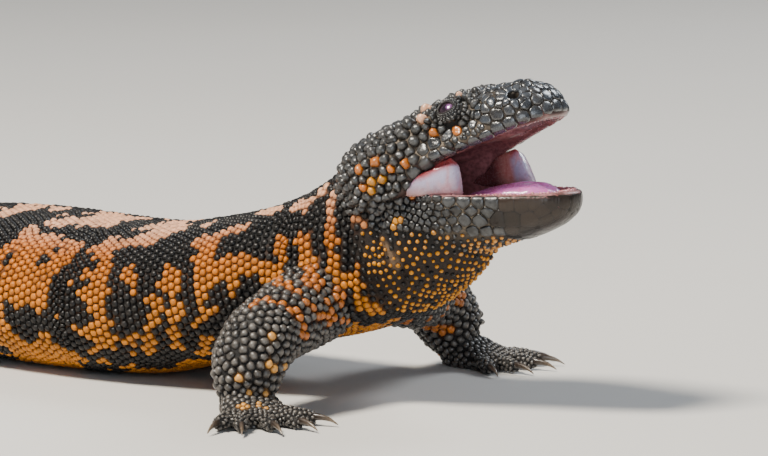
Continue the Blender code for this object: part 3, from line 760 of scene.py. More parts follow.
markings = {
    "black": (0.0065, 0.0056, 0.0056),
    "dustyAndLit": (0.042, 0.037, 0.033),  # the limbs' black, lighter with dust and with painted light where the limbs are lit
    # The crown's black is lighter than the body's: dust and painted light on the lit crown
    "crown": (0.026, 0.024, 0.023), "chin": (0.0165, 0.0108, 0.0078), "peach": (0.70, 0.37, 0.22),
    "orange": (0.48, 0.135, 0.011), "yellow": (0.60, 0.24, 0.012), "amber": (0.72, 0.34, 0.07),
    "bandLength": 30 * mm, "blotch": 10 * mm, "fringe": 4.0 * mm, "mirroredFrom": -25 * mm,
    "shownTo": 150 * mm,  # how far back the photo shows the flank, along the body
    "shownRight": 137,  # the photo's pixels: shown right of this, and below a slanting line
    "shownFrom": (163, 250), "shownSlant": -0.49,
    "lines": (  # half width in millimetres, and the photo's pixels that the line's middle goes through
        (1.9, ((352, 186), (354, 200), (357, 215), (358, 230), (360, 247), (362, 262), (360, 275),
               (356, 289))),
        (1.8, ((337, 193), (332, 205), (331, 218), (332, 237), (333, 255), (336, 268), (339, 283),
               (338, 299))),
        (2.3, ((302, 241), (306, 258), (311, 273), (315, 287))),
        (1.1, ((308, 303), (314, 312), (326, 319), (350, 319))),
        (0.9, ((323, 300), (331, 312))),
        (2.6, ((360, 302), (372, 309), (392, 314))),
        (2.2, ((298, 206), (309, 205))),
        (2.6, ((283, 206), (284, 217))),
        (2.0, ((309, 188), (313, 190))),
        (1.5, ((324, 189), (325, 195))),
        (2.0, ((335, 170), (346, 178), (351, 176))),
        (2.2, ((352, 150), (354, 162))),
        (1.9, ((280, 238), (281, 254))),
        (2.5, ((262, 214), (276, 212))),
        (2.0, ((229, 233), (244, 229))),
        (2.9, ((201, 243), (212, 242), (203, 258), (203, 268))),
        (2.9, ((205, 281), (213, 273), (226, 268), (245, 264), (262, 268), (275, 276))),
        (1.7, ((233, 276), (233, 290))),
        (1.7, ((208, 288), (200, 299))),
        (1.2, ((279, 276), (280, 285), (296, 290))),
        (1.6, ((170, 268), (175, 277))),
        (1.8, ((165, 284), (174, 290))),
        (1.8, ((175, 303), (176, 322), (177, 346))),
        (1.8, ((151, 300), (158, 306), (150, 330), (148, 352))),
        (1.6, ((194, 322), (203, 317), (214, 309))),
        (1.7, ((205, 338), (205, 354))),
        (1.35, ((252, 305), (268, 301), (281, 303), (292, 311), (299, 323), (303, 337))),
    ),
    "spots": (  # reach in millimetres, tint, and the photo's pixels of single scales
        # The crown's peach scales are partly painted highlight along its lit upper edge
        (1.3, "peach", ((487, 87), (464, 98), (443, 105), (433, 110), (493, 85), (458, 92))),
        (1.3, "peach", ((427, 113), (418, 114), (420, 123), (424, 122), (405, 119), (398, 123), (385, 127),
                        (380, 134), (377, 142))),
        (1.1, "orange", ((436, 130), (458, 130), (377, 153))),
        (1.4, "orange", ((405, 162), (392, 169), (371, 163), (362, 174))),
        (1.3, "yellow", ((384, 178), (371, 186), (368, 181))),
        (1.1, "orange", ((403, 195), (412, 197), (446, 195), (364, 191), (385, 190))),
        (1.1, "amber", ((226, 372), (236, 378), (260, 378), (269, 361), (277, 364), (285, 365), (274, 373),
                        (288, 372), (250, 394), (264, 394), (276, 393), (285, 397), (231, 398), (238, 406),
                        (273, 340), (245, 407), (268, 408), (258, 405))),
        (1.0, "yellow", ((398, 219), (392, 228), (431, 233), (423, 241))),
    ),
}


throatFacts = {"behind": (-14 * mm, -7 * mm), "below": (-6.5 * mm, -9 * mm), "ahead": (28 * mm, 36 * mm)}
blotches = {"wave": 0.62, "bend": 3.0, "blotch": 0.9, "fringe": 0.8, "least": 0.06}
tintAngles = {"side": (0.55, 1.2), "belly": (0.9, 2.2), "yellowShare": 0.6}  # from the middle of the back
lineEdges = {"fringe": 2.4 * mm, "sway": 0.9 * mm}
spotSlack = 0.4 * mm  # a spot takes the nearest bead, and those as near to it as this


def throatShare(places):  # 1 under the jaw and throat, where the beads stand apart
    low, mid = lowerJaw.measure(places), gape.measure(places)
    share = ease(*throatFacts["behind"], mid[:, 0]) * ease(*throatFacts["below"], low[:, 2])
    return share * (1 - ease(*throatFacts["ahead"], low[:, 0]))


def markedShare(places):  # above 0 where the body is orange, with the arc and the angle round the body
    arc, angle, _ = bodyAxis.measure(places)
    blotch = noiseAt(places, markings["blotch"], 3.0)
    fringe = noiseAt(places, markings["fringe"], 11.0)
    wave = np.sin(2 * math.pi * arc / markings["bandLength"] + blotches["bend"] * blotch)
    marked = blotches["wave"] * wave + blotches["blotch"] * blotch + blotches["fringe"] * fringe
    return marked - blotches["least"], arc, angle


def photoSpots(pixels, tree):  # where pixels of the photo lie on a surface
    spots = [tree.ray_cast(*lineThrough(x, y))[0] for x, y in pixels]
    return np.array([s for s in spots if s is not None])


def lineGaps(places, pixels, tree):  # how far each place is from a line of the photo's or its mirror image
    line = upperJaw.measure(photoSpots(pixels, tree))
    measured = upperJaw.measure(places)
    return np.min([
        segmentGaps(measured, first, last)[0]
        for side in (1, mirrored) for first, last in zip(line * side, line[1:] * side)
    ], axis=0)


def nearLines(places):  # whether each place is on one of the measured marking lines
    fringe = noiseAt(places, lineEdges["fringe"], 51.0) * lineEdges["sway"]
    near = np.zeros(len(places), bool)
    for half, pixels in markings["lines"]:
        spots = photoSpots(pixels, skinTree)
        for first, last in zip(spots, spots[1:]):
            near |= segmentGaps(places, first, last)[0] < half * mm + fringe
    return near


def spotTints(places, tints):  # the head's are on both its sides
    for reach, tint, pixels in markings["spots"]:
        for spot in photoSpots(pixels, skinTree):
            spots = [spot]
            across = upperJaw.measure(spot[None])[0]
            if across[0] > markings["mirroredFrom"]:
                spots.append(upperJaw.place(*(across * mirrored)))
            for place in spots:
                gaps = distanceTo(places, place)
                tints[(gaps < reach * mm) & (gaps < gaps.min() + spotSlack)] = markings[tint]


def bodyTints(marked, angle):  # peach on the back, orange on the sides and partly yellow on the belly
    side, belly = (ease(*tintAngles[key], np.abs(angle)) for key in ("side", "belly"))
    bright = blend(markings["peach"], markings["orange"], side)
    bright = blend(bright, markings["yellow"], belly * tintAngles["yellowShare"])
    return np.where(marked[:, None], bright, np.array(markings["black"]))


# Skin: one mesh over all the flesh, grown together, smoothed and drawn in by the depth of the beads

skinFacts = {
    "voxel": 0.62 * mm,
    "push": 0.25 * mm,  # closes the gaps between the nodes
    "limit": 186000,  # triangles
    "bodySmooth": 44, "limbSmooth": 14, "headSmooth": 14, "mouthSmooth": 4, "bodyDepth": 0.75 * mm,
    "headDepth": 0.85 * mm, "handDepth": 0.4 * mm, "lipDepth": 0.2 * mm, "mouthDepth": -0.3 * mm,
    "ridge": 1.0 * mm, "crownLift": 0.5 * mm, "crownFrom": (12 * mm, 18 * mm),
    "crownAbove": (9 * mm, 13 * mm),
    "lipLevels": (-4 * mm, 6 * mm),  # on the lower jaw's axes and the upper's
    "lipsFrom": 8 * mm, "snoutFrom": 33 * mm, "chinFrom": 30 * mm, "evenWeights": 6, "evenDepths": 8,
    "offFloor": 0.3 * mm,
}
nostrilPixel = (513, 94)


def nostrilPlace():  # where the photo's nostril lies on the flesh, and the way that it faces
    spot, way = fleshTree.ray_cast(*lineThrough(*nostrilPixel))[:2]
    facing = upperJaw.turn @ np.array(way)
    return upperJaw.measure(np.array(spot)[None])[0], facing * (1 if facing[1] < 0 else -1)


nostrilSpot, nostrilWay = nostrilPlace()
openings = (  # the right side's place and facing on the upper jaw's axes
    {"spot": nostrilSpot, "way": nostrilWay, "halfLength": 1.5 * mm,
     "halfHeight": 1.9 * mm, "depth": 3.0 * mm},
    {"spot": np.array((-10.5, -20.3, 2.0)) * mm, "way": np.array((0, -1.0, 0)), "halfLength": 1.3 * mm,
     "halfHeight": 3.2 * mm, "depth": 2.2 * mm},
)
openingWall = (0.6, 1.15)  # the share of an opening's size at which its wall starts and ends
mirrored = np.array((1, -1, 1))


def turned(side):
    return mirrored if side > 0 else 1


def openingReach(places, facts, side):  # 0 at an opening's middle, 1 at its rim
    gap = upperJaw.measure(places) * turned(side) - facts["spot"]
    return np.hypot(np.hypot(gap[:, 0], gap[:, 1]) / facts["halfLength"], gap[:, 2] / facts["halfHeight"])


def sinkOpenings(places):
    for facts in openings:
        for side in (-1, 1):
            share = 1 - ease(*openingWall, openingReach(places, facts, side))
            inward = -(facts["way"] * turned(side)) @ upperJaw.turn
            places = places + inward * (share * facts["depth"])[:, None]
    return places


def openingAxes(facts, side):
    outward = Vector((facts["way"] * turned(side)) @ upperJaw.turn).normalized()
    spot = upperJaw.place(*(facts["spot"] * turned(side)))
    ahead = (upperJaw.forward - outward * upperJaw.forward.dot(outward)).normalized()
    return spot, ahead, outward.cross(ahead), outward


folds = (  # half width and depth in millimetres, and the photo's pixels that the fold runs through
    (1.7, 1.7, ((388, 180), (380, 193), (374, 212), (372, 235), (376, 256))),
    (1.2, 0.9, ((348, 190), (344, 210), (345, 235), (347, 262), (348, 286))),
    (1.2, 0.8, ((326, 205), (322, 228), (323, 250), (327, 272), (330, 292))),
    (1.3, 0.7, ((296, 232), (298, 255), (302, 276))),
    (1.3, 1.2, ((244, 298), (262, 296), (282, 299), (298, 312), (305, 332))),
    (0.9, 0.8, ((383, 246), (392, 256), (399, 268), (402, 282))),
    (1.0, -1.0, ((377, 233), (383, 243), (391, 254), (397, 266))),
    (0.8, 0.6, ((404, 205), (416, 208), (432, 212), (446, 214))),
    (0.8, 0.5, ((402, 213), (416, 217), (432, 221), (450, 223))),
)


def foldDepths(places):  # how far each place is drawn in by the neck's and shoulder's folds, on both sides
    depths = np.zeros(len(places))
    for half, depth, pixels in folds:
        depths += depth * mm * np.exp(-(lineGaps(places, pixels, fleshTree) / (half * mm)) ** 2)
    return depths


ridgeFacts = {
    "centre": 10 * mm, "wander": 8 * mm, "bend": 2.2, "turn": 0.3, "shape": (-0.1, 0.95),
    "starts": (2 * mm, 9 * mm), "ends": (31 * mm, 38 * mm), "clear": (0.8 * mm, 3.5 * mm), "facing": 0.2,
}


def palateRidges(places):  # 0 between the folds that run out from the gullet, 1 on them
    top = upperJaw.measure(places)
    turn = np.arctan2(top[:, 1], top[:, 0] + ridgeFacts["centre"])
    wander = noiseAt(places, ridgeFacts["wander"], 61.0)
    wave = np.cos(turn * 2 * math.pi / ridgeFacts["turn"] + ridgeFacts["bend"] * wander)
    rise = ease(*ridgeFacts["shape"], wave)
    rise *= ease(*ridgeFacts["starts"], top[:, 0]) * (1 - ease(*ridgeFacts["ends"], top[:, 0]))
    clear = alongTable(mouth["palate"], top[:, 0], 1) - np.abs(top[:, 1])
    return rise * ease(*ridgeFacts["clear"], clear)


def skinDepths(places, isHead, isHand, inside, soft):  # how far the skin is drawn in under its scales
    top, low = upperJaw.measure(places), lowerJaw.measure(places)
    depth = np.full(len(places), skinFacts["bodyDepth"])
    depth[isHead] = skinFacts["headDepth"]
    depth[isHand] = skinFacts["handDepth"]
    least, most = skinFacts["lipLevels"]
    lips = (low[:, 2] > least) & (top[:, 2] < most) & (low[:, 0] > skinFacts["lipsFrom"])
    lips |= top[:, 0] > skinFacts["snoutFrom"]
    lips |= (low[:, 0] > skinFacts["chinFrom"]) & (top[:, 2] < 0)
    depth[isHead & lips] = skinFacts["lipDepth"]
    crown = skinFacts["crownLift"] * ease(*skinFacts["crownFrom"], top[:, 0])
    depth -= crown * ease(*skinFacts["crownAbove"], top[:, 2]) * isHead
    depth += foldDepths(places) * ~(inside | isHand)
    depth[soft] = skinFacts["mouthDepth"]
    return depth


def makeSkin():
    data, _ = joinedFlesh(skinFacts["push"])
    mesh = regrown(data, skinFacts["voxel"])
    places = coordsOf(mesh)
    owners = ownersOf(places)
    inside, rimTop, rimLow, _ = mouthShares(places, normalsOf(mesh))
    isHead = isNode(owners, "head", "lower_jaw")
    isHand = isNode(owners, "hand", "foot")
    isLimb = isNode(owners, *limbNodes)
    soft = inside | rimTop | rimLow
    edges = edgesOf(mesh)
    groups = {"bodySmooth": ~(isHead | isHand | isLimb), "limbSmooth": isLimb, "headSmooth": isHead & ~soft,
              "mouthSmooth": soft | isHand}
    most = max(skinFacts[key] for key in groups)
    weights = sum(np.where(group, skinFacts[key] / most, 0) for key, group in groups.items())
    weights = smoothed(weights[:, None], edges, 0.5, skinFacts["evenWeights"])
    places = smoothed(places, edges, 0.5 * weights, most)
    setCoords(mesh, places)
    depth = skinDepths(places, isHead, isHand, inside, soft)
    depth = smoothed(depth[:, None], edges, 0.5, skinFacts["evenDepths"])
    places = places - normalsOf(mesh) * (depth + skinFacts["push"])
    places[:, 2] = np.maximum(places[:, 2], skinFacts["offFloor"])
    faced = normalsOf(mesh) @ np.array(upperJaw.up) < ridgeFacts["facing"]
    ridges = palateRidges(places) * inside * faced
    places += normalsOf(mesh) * ridges[:, None] * skinFacts["ridge"]
    places = sinkOpenings(places)
    setCoords(mesh, places)
    whole = addObject("skinWhole", mesh)
    group = whole.vertex_groups.new(name="spare")  # where points can be spared
    group.add([int(k) for k in np.nonzero(~(isHead | isHand))[0]], 1.0, "REPLACE")
    thin = whole.modifiers.new("Decimate", "DECIMATE")
    thin.ratio = skinFacts["limit"] / (2 * len(mesh.polygons))
    thin.vertex_group = "spare"
    thin.vertex_group_factor = 1.0
    mesh = evaluatedMesh(whole)
    mesh.name = "skin"
    mesh.shade_smooth()
    return mesh


skinMesh = makeSkin()
skinPlaces = coordsOf(skinMesh)
skinNormals = normalsOf(skinMesh)
skinOwners = ownersOf(skinPlaces)
skinTree = treeOf(skinMesh)
print("skin:", len(skinMesh.vertices), "points,", len(skinMesh.loop_triangles), "triangles")

skin = addObject("skin", skinMesh, skinMaterial(skinFinish))
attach(skin, "root")
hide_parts(*fleshNodes)


# Where the beads sit: rows round the body and tail, lines along the lips, and scattered points elsewhere

class Points:
    def __init__(self):
        self.places = []
        self.pitches = []
        self.kinds = []  # row, lip, edge, lid, nostril or free

    def add(self, places, pitch, kind):
        for place in places:
            self.places.append(np.array(place, float))
            self.pitches.append(pitch)
            self.kinds.append(kind)


rowFacts = {
    "pitches": ((0, 2.0 * mm), (40 * mm, 2.05 * mm), (200 * mm, 2.05 * mm), (320 * mm, 2.5 * mm)),
    "packing": 0.9,  # of a row's distance to the next, in pitches
    "rays": 120, "start": 2.0 * mm, "endGap": 3.0 * mm,
    "stray": 0.35 * mm,  # a wall further out than the CAD's is a leg's
    "spare": 10 * mm, "sound": 0.99, "fewest": 6,
    "stagger": 0.5,  # of every other row, in pitches, growing behind the nape
    "napeStagger": 0.08, "staggerFrom": (12 * mm, 40 * mm),
}


def ringRound(arc, angles):  # places round the skin at one arc, and 1 where they aren't on a leg
    centre, _, high, right = bodyAxis.at(arc)
    ring, sound = [], []
    for angle in angles:
        way = Vector(high * math.cos(angle) + right * math.sin(angle))
        hit = skinTree.ray_cast(Vector(centre), way)
        wall = bodyAxis.wall(Vector(centre), way)
        ok = hit[0] is not None and wall is not None and hit[3] < wall + rowFacts["stray"]
        sound.append(ok)
        ring.append(np.array(hit[0]) if ok else centre + np.array(way) * (wall or rowFacts["spare"]))
    return np.array(ring + ring[:1]), np.array(sound + sound[:1], float)


def bodyRows(points):
    arc = rowFacts["start"]
    row = 0
    angles = np.linspace(-math.pi, math.pi, rowFacts["rays"], endpoint=False)
    stations, pitches = zip(*rowFacts["pitches"])
    while arc < bodyAxis.arc[-1] - rowFacts["endGap"]:
        pitch = np.interp(arc, stations, pitches)
        ring, sound = ringRound(arc, angles)
        lengths = lengthsAlong(ring)
        count = max(rowFacts["fewest"], round(lengths[-1] / pitch))
        stagger = rowFacts["stagger"] * ease(*rowFacts["staggerFrom"], arc) + rowFacts["napeStagger"]
        first = lengths[len(angles) // 2]
        where = (first + (np.arange(count) + row % 2 * stagger) * lengths[-1] / count) % lengths[-1]
        good = np.interp(where, lengths, sound) > rowFacts["sound"]
        points.add(alongLine(where, lengths, ring)[good], pitch, "row")
        arc += pitch * rowFacts["packing"]
        row += 1


lips = {
    "turn": 28 * mm,  # where a lip's straight side gives way to its curve round the front
    "front": 17 * mm,  # that curve's reach
    "step": 0.5 * mm, "frontSteps": 90, "cast": 45 * mm, "rim": 0.2 * mm,
    "sway": 0.12,  # of a pitch, along a row
    "upperEdge": ((-1, -4.4), (6, -3.2), (12, 0.4), (18, 1.5), (43, 1.6), (47, 2.6)),
    "lowerEdge": ((0, 0.2), (11, 1.5), (43, 1.5), (46, 0.9)),
    "upperRows": ((1.6, 3.5), (4.9, 3.6)),  # height above the edge, and pitch, in millimetres
    "lowerRows": ((2.2, 3.7), (6.5, 4.3), (9.8, 3.5)),
    "upperBack": (9, 13),  # where each row ends, along the jaw
    "lowerBack": (15, 17, 20),
    "edgeBack": 2,  # how much further back the edge's own line starts
}


def lipLine(jaw, edge, drop, back):  # a row's line round one jaw, on the skin, from right to left
    alongs, heights = np.array(edge).T * mm
    back, turn, step, cast = back * mm, lips["turn"], lips["step"], lips["cast"]

    def height(along):
        return np.interp(along, alongs, heights) + drop

    starts = [(jaw.place(a, -cast, height(a)), -jaw.left) for a in np.arange(back, turn, step)]
    for angle in np.linspace(-math.pi / 2, math.pi / 2, lips["frontSteps"]):
        outward = jaw.forward * math.cos(angle) + jaw.left * math.sin(angle)
        middle = jaw.place(turn, 0, height(turn + lips["front"] * math.cos(angle)))
        starts.append((middle + outward * cast, outward))
    starts += [(jaw.place(a, cast, height(a)), jaw.left) for a in np.arange(turn, back, -step)]
    hits = [skinTree.ray_cast(start, -outward)[0] for start, outward in starts]
    return np.array([hit for hit in hits if hit is not None])


def acrossEdge(rows, line):  # stand-ins beyond the lip's edge, which stop its scales there
    tree = nearestTree(line)
    return [2 * np.array(tree.find(p)[0]) - p for p in rows]


def evenly(line, pitch, shift=0.0, seed=3):
    lengths = lengthsAlong(line)
    half = lengths[-1] / 2
    count = int(half / pitch)
    sway = np.random.default_rng(seed).uniform(-1, 1, 2 * count + 1) * lips["sway"]
    where = half + (np.arange(-count, count + 1) + shift + sway) * pitch
    return alongLine(where[(where > 0) & (where < lengths[-1])], lengths, line)


def lipRows(points):
    for jaw, edge, rows, backs, way in ((upperJaw, "upperEdge", "upperRows", "upperBack", 1),
                                        (lowerJaw, "lowerEdge", "lowerRows", "lowerBack", -1)):
        for number, ((height, pitch), back) in enumerate(zip(lips[rows], lips[backs])):
            line = lipLine(jaw, lips[edge], way * height * mm, back)
            row = evenly(line, pitch * mm, 0.5 * (number % 2), 3 + number)
            points.add(row, pitch * mm, "lip")
            if number == 0:
                rim = lipLine(jaw, lips[edge], way * lips["rim"], back - lips["edgeBack"])
                points.add(acrossEdge(row, rim), pitch * mm, "edge")


# Eyes: the lids' openings lie across each eye's own outward axis

eyes = {
    "radius": 3.3 * mm,
    "lift": math.radians(34),  # of the eye's outward axis above the level, seen from the front
    "ahead": math.radians(8), "halfLength": 2.15 * mm, "halfHeight": 1.45 * mm, "lidRadius": 3.62 * mm,
    "clear": 4.5 * mm,
    "ringShape": (1.1, 0.86),  # of the rings of granules, across and above
    "cast": 12 * mm,
    "granules": ((3.95, 21, 1.25),),  # ring radius, count and pitch, in millimetres
    "lidGranules": ((2.35, 26, 0.56), (2.78, 24, 0.76), (3.18, 21, 1.0)),
}


class EyeAxes:
    def __init__(self, side):
        self.side = side
        self.centre = boxMiddle("eye_left" if side > 0 else "eye_right")
        level = upperJaw.left * side * math.cos(eyes["lift"]) + upperJaw.up * math.sin(eyes["lift"])
        out = level * math.cos(eyes["ahead"]) + upperJaw.forward * math.sin(eyes["ahead"])
        self.out = out.normalized()
        self.along = (upperJaw.forward - self.out * upperJaw.forward.dot(self.out)).normalized()
        self.above = self.out.cross(self.along) * side
        if self.above.dot(upperJaw.up) < 0:
            self.above = -self.above

    def onBall(self, across, height, radius):
        depth = math.sqrt(max(radius ** 2 - across ** 2 - height ** 2, 0))
        return self.centre + self.along * across + self.above * height + self.out * depth


eyeAxes = [EyeAxes(side) for side in (-1, 1)]


def ringAround(radius, count, shift):  # across and above the opening's middle
    turns = 2 * math.pi * (np.arange(count) + shift) / count
    wide, tall = eyes["ringShape"]
    return np.stack([np.cos(turns) * radius * wide * mm, np.sin(turns) * radius * tall * mm], 1)


nostril = {"scales": 9, "ring": 2.95 * mm, "longer": 1.1, "pitch": 1.9 * mm, "cast": 8 * mm}


def rings(points):  # granules on the skin just outside the lids, and round the nostrils
    for axes in eyeAxes:
        for radius, count, pitch in eyes["granules"]:
            spots = []
            for across, height in ringAround(radius, count, 0):
                start = axes.centre + axes.along * across + axes.above * height + axes.out * eyes["cast"]
                spots.append(skinTree.ray_cast(start, -axes.out)[0])
            points.add([s for s in spots if s is not None], pitch * mm, "lid")
    for side in (-1, 1):
        spot, ahead, above, outward = openingAxes(openings[0], side)
        spots = []
        for k in range(nostril["scales"]):
            turn = 2 * math.pi * k / nostril["scales"]
            flat = ahead * math.cos(turn) * nostril["ring"] * nostril["longer"]
            flat += above * math.sin(turn) * nostril["ring"]
            spots.append(skinTree.ray_cast(spot + flat + outward * nostril["cast"], -outward)[0])
        points.add([s for s in spots if s is not None], nostril["pitch"], "nostril")


# Free points: as close as the local pitch lets them be, then pushed apart until even

scatterFacts = {
    "tries": 9, "density": 1.2,
    "closest": 0.78,  # of the pitch
    "cell": 3.9 * mm, "headSpread": 0.26, "rounds": 7, "push": 0.32, "reach": 1.2, "neighbours": 8,
    "loose": {"free": 1.0, "row": 0.35},  # how far each kind gives way
}

# Folds under each eye, with small scales edged in cream, and behind each jaw, with none
scaleFold = {"pixels": ((460, 139), (471, 131), (481, 122)), "half": 1.6 * mm, "pitch": 1.15 * mm}
bareFold = {"pixels": ((377, 233), (383, 243), (391, 254), (397, 266)), "half": 1.1 * mm}

pitchFacts = {
    "trunk": 2.1 * mm, "crown": 2.75 * mm, "napeLess": 0.6 * mm, "nape": (3 * mm, 14 * mm),
    "cheekLess": 0.55 * mm, "cheek": (10 * mm, -2 * mm), "snout": 3.1 * mm, "snoutFrom": 32 * mm,
    "eye": 1.6 * mm, "eyeMore": 1.4 * mm, "eyeReach": (5.2 * mm, 8.5 * mm), "opening": 1.9 * mm,
    "openingReach": 2.4,  # in half sizes of the opening
    "openingClear": 1.9, "jaw": 1.6 * mm, "jawMore": 0.9 * mm, "jawReach": (10 * mm, 22 * mm),
    "throat": 1.95 * mm, "throatBelow": (-6 * mm, -9 * mm), "chin": 3.0 * mm,
    "chinFrom": (27 * mm, 36 * mm), "limb": 2.2 * mm, "hand": 1.75 * mm, "fingerLess": 0.55 * mm,
    "fingers": (2.1, 2.9), "handReach": 45 * mm,
}


def nearFolds(places, fold=scaleFold):
    return lineGaps(places, fold["pixels"], skinTree) < fold["half"]


def pitchesAt(places, owners, bare):
    facts = pitchFacts
    top, low = upperJaw.measure(places), lowerJaw.measure(places)
    pitch = np.full(len(places), facts["trunk"])
    head, jaw = isNode(owners, "head"), isNode(owners, "lower_jaw")
    crown = facts["crown"] - facts["napeLess"] * ease(*facts["nape"], -top[:, 0])
    crown -= facts["cheekLess"] * ease(*facts["cheek"], top[:, 2])
    crown = np.where(top[:, 0] > facts["snoutFrom"], facts["snout"], crown)
    for axes in eyeAxes:
        near = distanceTo(places, axes.centre)
        crown = np.minimum(crown, facts["eye"] + facts["eyeMore"] * ease(*facts["eyeReach"], near))
        crown[near < eyes["clear"]] = 0
    for opening in openings:
        for side in (-1, 1):
            reach = openingReach(places, opening, side)
            crown = np.where(reach < facts["openingReach"], np.minimum(crown, facts["opening"]), crown)
            crown[reach < facts["openingClear"]] = 0
    pitch[head] = crown[head]
    cheek = facts["jaw"] + facts["jawMore"] * ease(*facts["jawReach"], low[:, 0])
    under = ease(*facts["throatBelow"], low[:, 2])
    chin = ease(*facts["chinFrom"], low[:, 0])
    jawPitch = (cheek * (1 - under) + facts["throat"] * under) * (1 - chin) + facts["chin"] * chin
    pitch[jaw] = jawPitch[jaw]
    pitch[nearFolds(places) & head] = scaleFold["pitch"]
    pitch[isNode(owners, *limbNodes)] = facts["limb"]
    for path in limbPaths.values():
        end = isNode(owners, "hand", "foot") & (distanceTo(places, path[2]) < facts["handReach"])
        fingers = ease(*facts["fingers"], limbMeasure(path, places))
        pitch[end] = (facts["hand"] - facts["fingerLess"] * fingers)[end]
    pitch[bare | nearFolds(places, bareFold)] = 0
    return pitch


def scatter(points, seed):
    random = np.random.default_rng(seed)
    triangles = trianglesOf(skinMesh)
    corners = skinPlaces[triangles]
    firstSides, secondSides = corners[:, 1] - corners[:, 0], corners[:, 2] - corners[:, 0]
    area = np.linalg.norm(np.cross(firstSides, secondSides), axis=1) / 2
    inside, rimTop, rimLow, _ = mouthShares(skinPlaces, skinNormals)
    below = underLip(skinPlaces, skinNormals, skinOwners)
    pitch = pitchesAt(skinPlaces, skinOwners, inside | rimTop | rimLow | below)
    local = pitch[triangles].min(axis=1)
    uneven = isNode(skinOwners[triangles[:, 0]], "head") * scatterFacts["headSpread"]
    expected = np.where(local > 0, area / np.maximum(local, tiny) ** 2 * scatterFacts["density"], 0)
    count = int(expected.sum() * scatterFacts["tries"])
    chosen = random.choice(len(triangles), count, p=expected / expected.sum())
    shares = random.random((count, 2))
    over = shares.sum(axis=1) > 1
    shares[over] = 1 - shares[over]
    spots = corners[chosen, 0] + shares[:, :1] * firstSides[chosen]
    spots += shares[:, 1:] * secondSides[chosen]
    vary = random.uniform(-1, 1, count)
    cells = {}
    size = scatterFacts["cell"]

    def keep(place, own):
        cells.setdefault(tuple((place // size).astype(int)), []).append((place[0], place[1], place[2], own))

    for place, own in zip(points.places, points.pitches):
        keep(place, own)
    keys = (spots // size).astype(int)
    around = [(i, j, k) for i in (-1, 0, 1) for j in (-1, 0, 1) for k in (-1, 0, 1)]
    closest = scatterFacts["closest"]
    for number in range(count):
        x, y, z = spots[number]
        own = local[chosen[number]] * (1 + vary[number] * uneven[chosen[number]])
        a, b, c = keys[number]
        clear = True
        for i, j, k in around:
            for px, py, pz, other in cells.get((a + i, b + j, c + k), ()):
                least = (own + other) / 2 * closest
                if (px - x) ** 2 + (py - y) ** 2 + (pz - z) ** 2 < least * least:
                    clear = False
                    break
            if not clear:
                break
        if clear:
            keep(spots[number], own)
            points.add([spots[number]], own, "free")


def spreadOut(points):
    places, pitches = np.array(points.places), np.array(points.pitches)
    loose = np.array([scatterFacts["loose"].get(k, 0.0) for k in points.kinds])
    for _ in range(scatterFacts["rounds"]):
        tree = nearestTree(places)
        moved = places.copy()
        for k in np.nonzero(loose)[0]:
            place, own = places[k], pitches[k]
            shift = np.zeros(3)
            for spot, other, gap in tree.find_n(place, scatterFacts["neighbours"]):
                wanted = (own + pitches[other]) / 2 * scatterFacts["reach"]
                if other != k and tiny < gap < wanted:
                    shift += (place - np.array(spot)) / gap * (wanted - gap)
            moved[k] = skinTree.find_nearest(Vector(place + shift * scatterFacts["push"] * loose[k]))[0]
        places = moved
    return places, pitches


points = Points()
bodyRows(points)
print("row beads:", len(points.places))
lipRows(points)
rings(points)
scatter(points, seed=5)
print("all beads:", len(points.places))
beadPlaces, beadPitches = spreadOut(points)
beadKinds = np.array(points.kinds)
print("beads spread out")


# Each bead's direction, size, height and colour

beadForm = {
    "width": {  # of each bead, in pitches
        "body": 0.57, "limb": 0.68, "head": 0.98, "jaw": 0.92, "lip": 1.1, "fold": 0.8, "lid": 0.55,
        "nostril": 0.9,
    },
    "tall": {
        "body": 0.85 * mm, "limb": 0.95 * mm, "hand": 0.5 * mm, "head": 1.35 * mm, "jaw": 0.55 * mm,
        "throat": 0.62 * mm, "lip": 0.55 * mm, "fold": 0.5 * mm, "lid": 0.6 * mm, "nostril": 0.5 * mm,
    },
    "belly": (2.0, 2.5),  # angles from the back at which the flatter, wider scales start and rule
    "bellyFlatter": 0.5, "bellyWider": 0.12, "crownMore": 0.55 * mm, "crownFrom": (6 * mm, 16 * mm),
    "crownAbove": (9 * mm, 13 * mm), "snoutLess": 1.45 * mm, "snoutFrom": (29 * mm, 35 * mm),
    "headLeast": 0.42 * mm,
    "throatLess": (0.66, 0.45),  # of the width, on the jaw and elsewhere
    "chinFrom": (26 * mm, 33 * mm), "chinFlatter": 0.86, "lipLess": 0.47 * mm,
    "widthRange": (0.95, 1.05), "throatRange": (-0.15, 0.35), "tallRange": (0.82, 1.15),
}


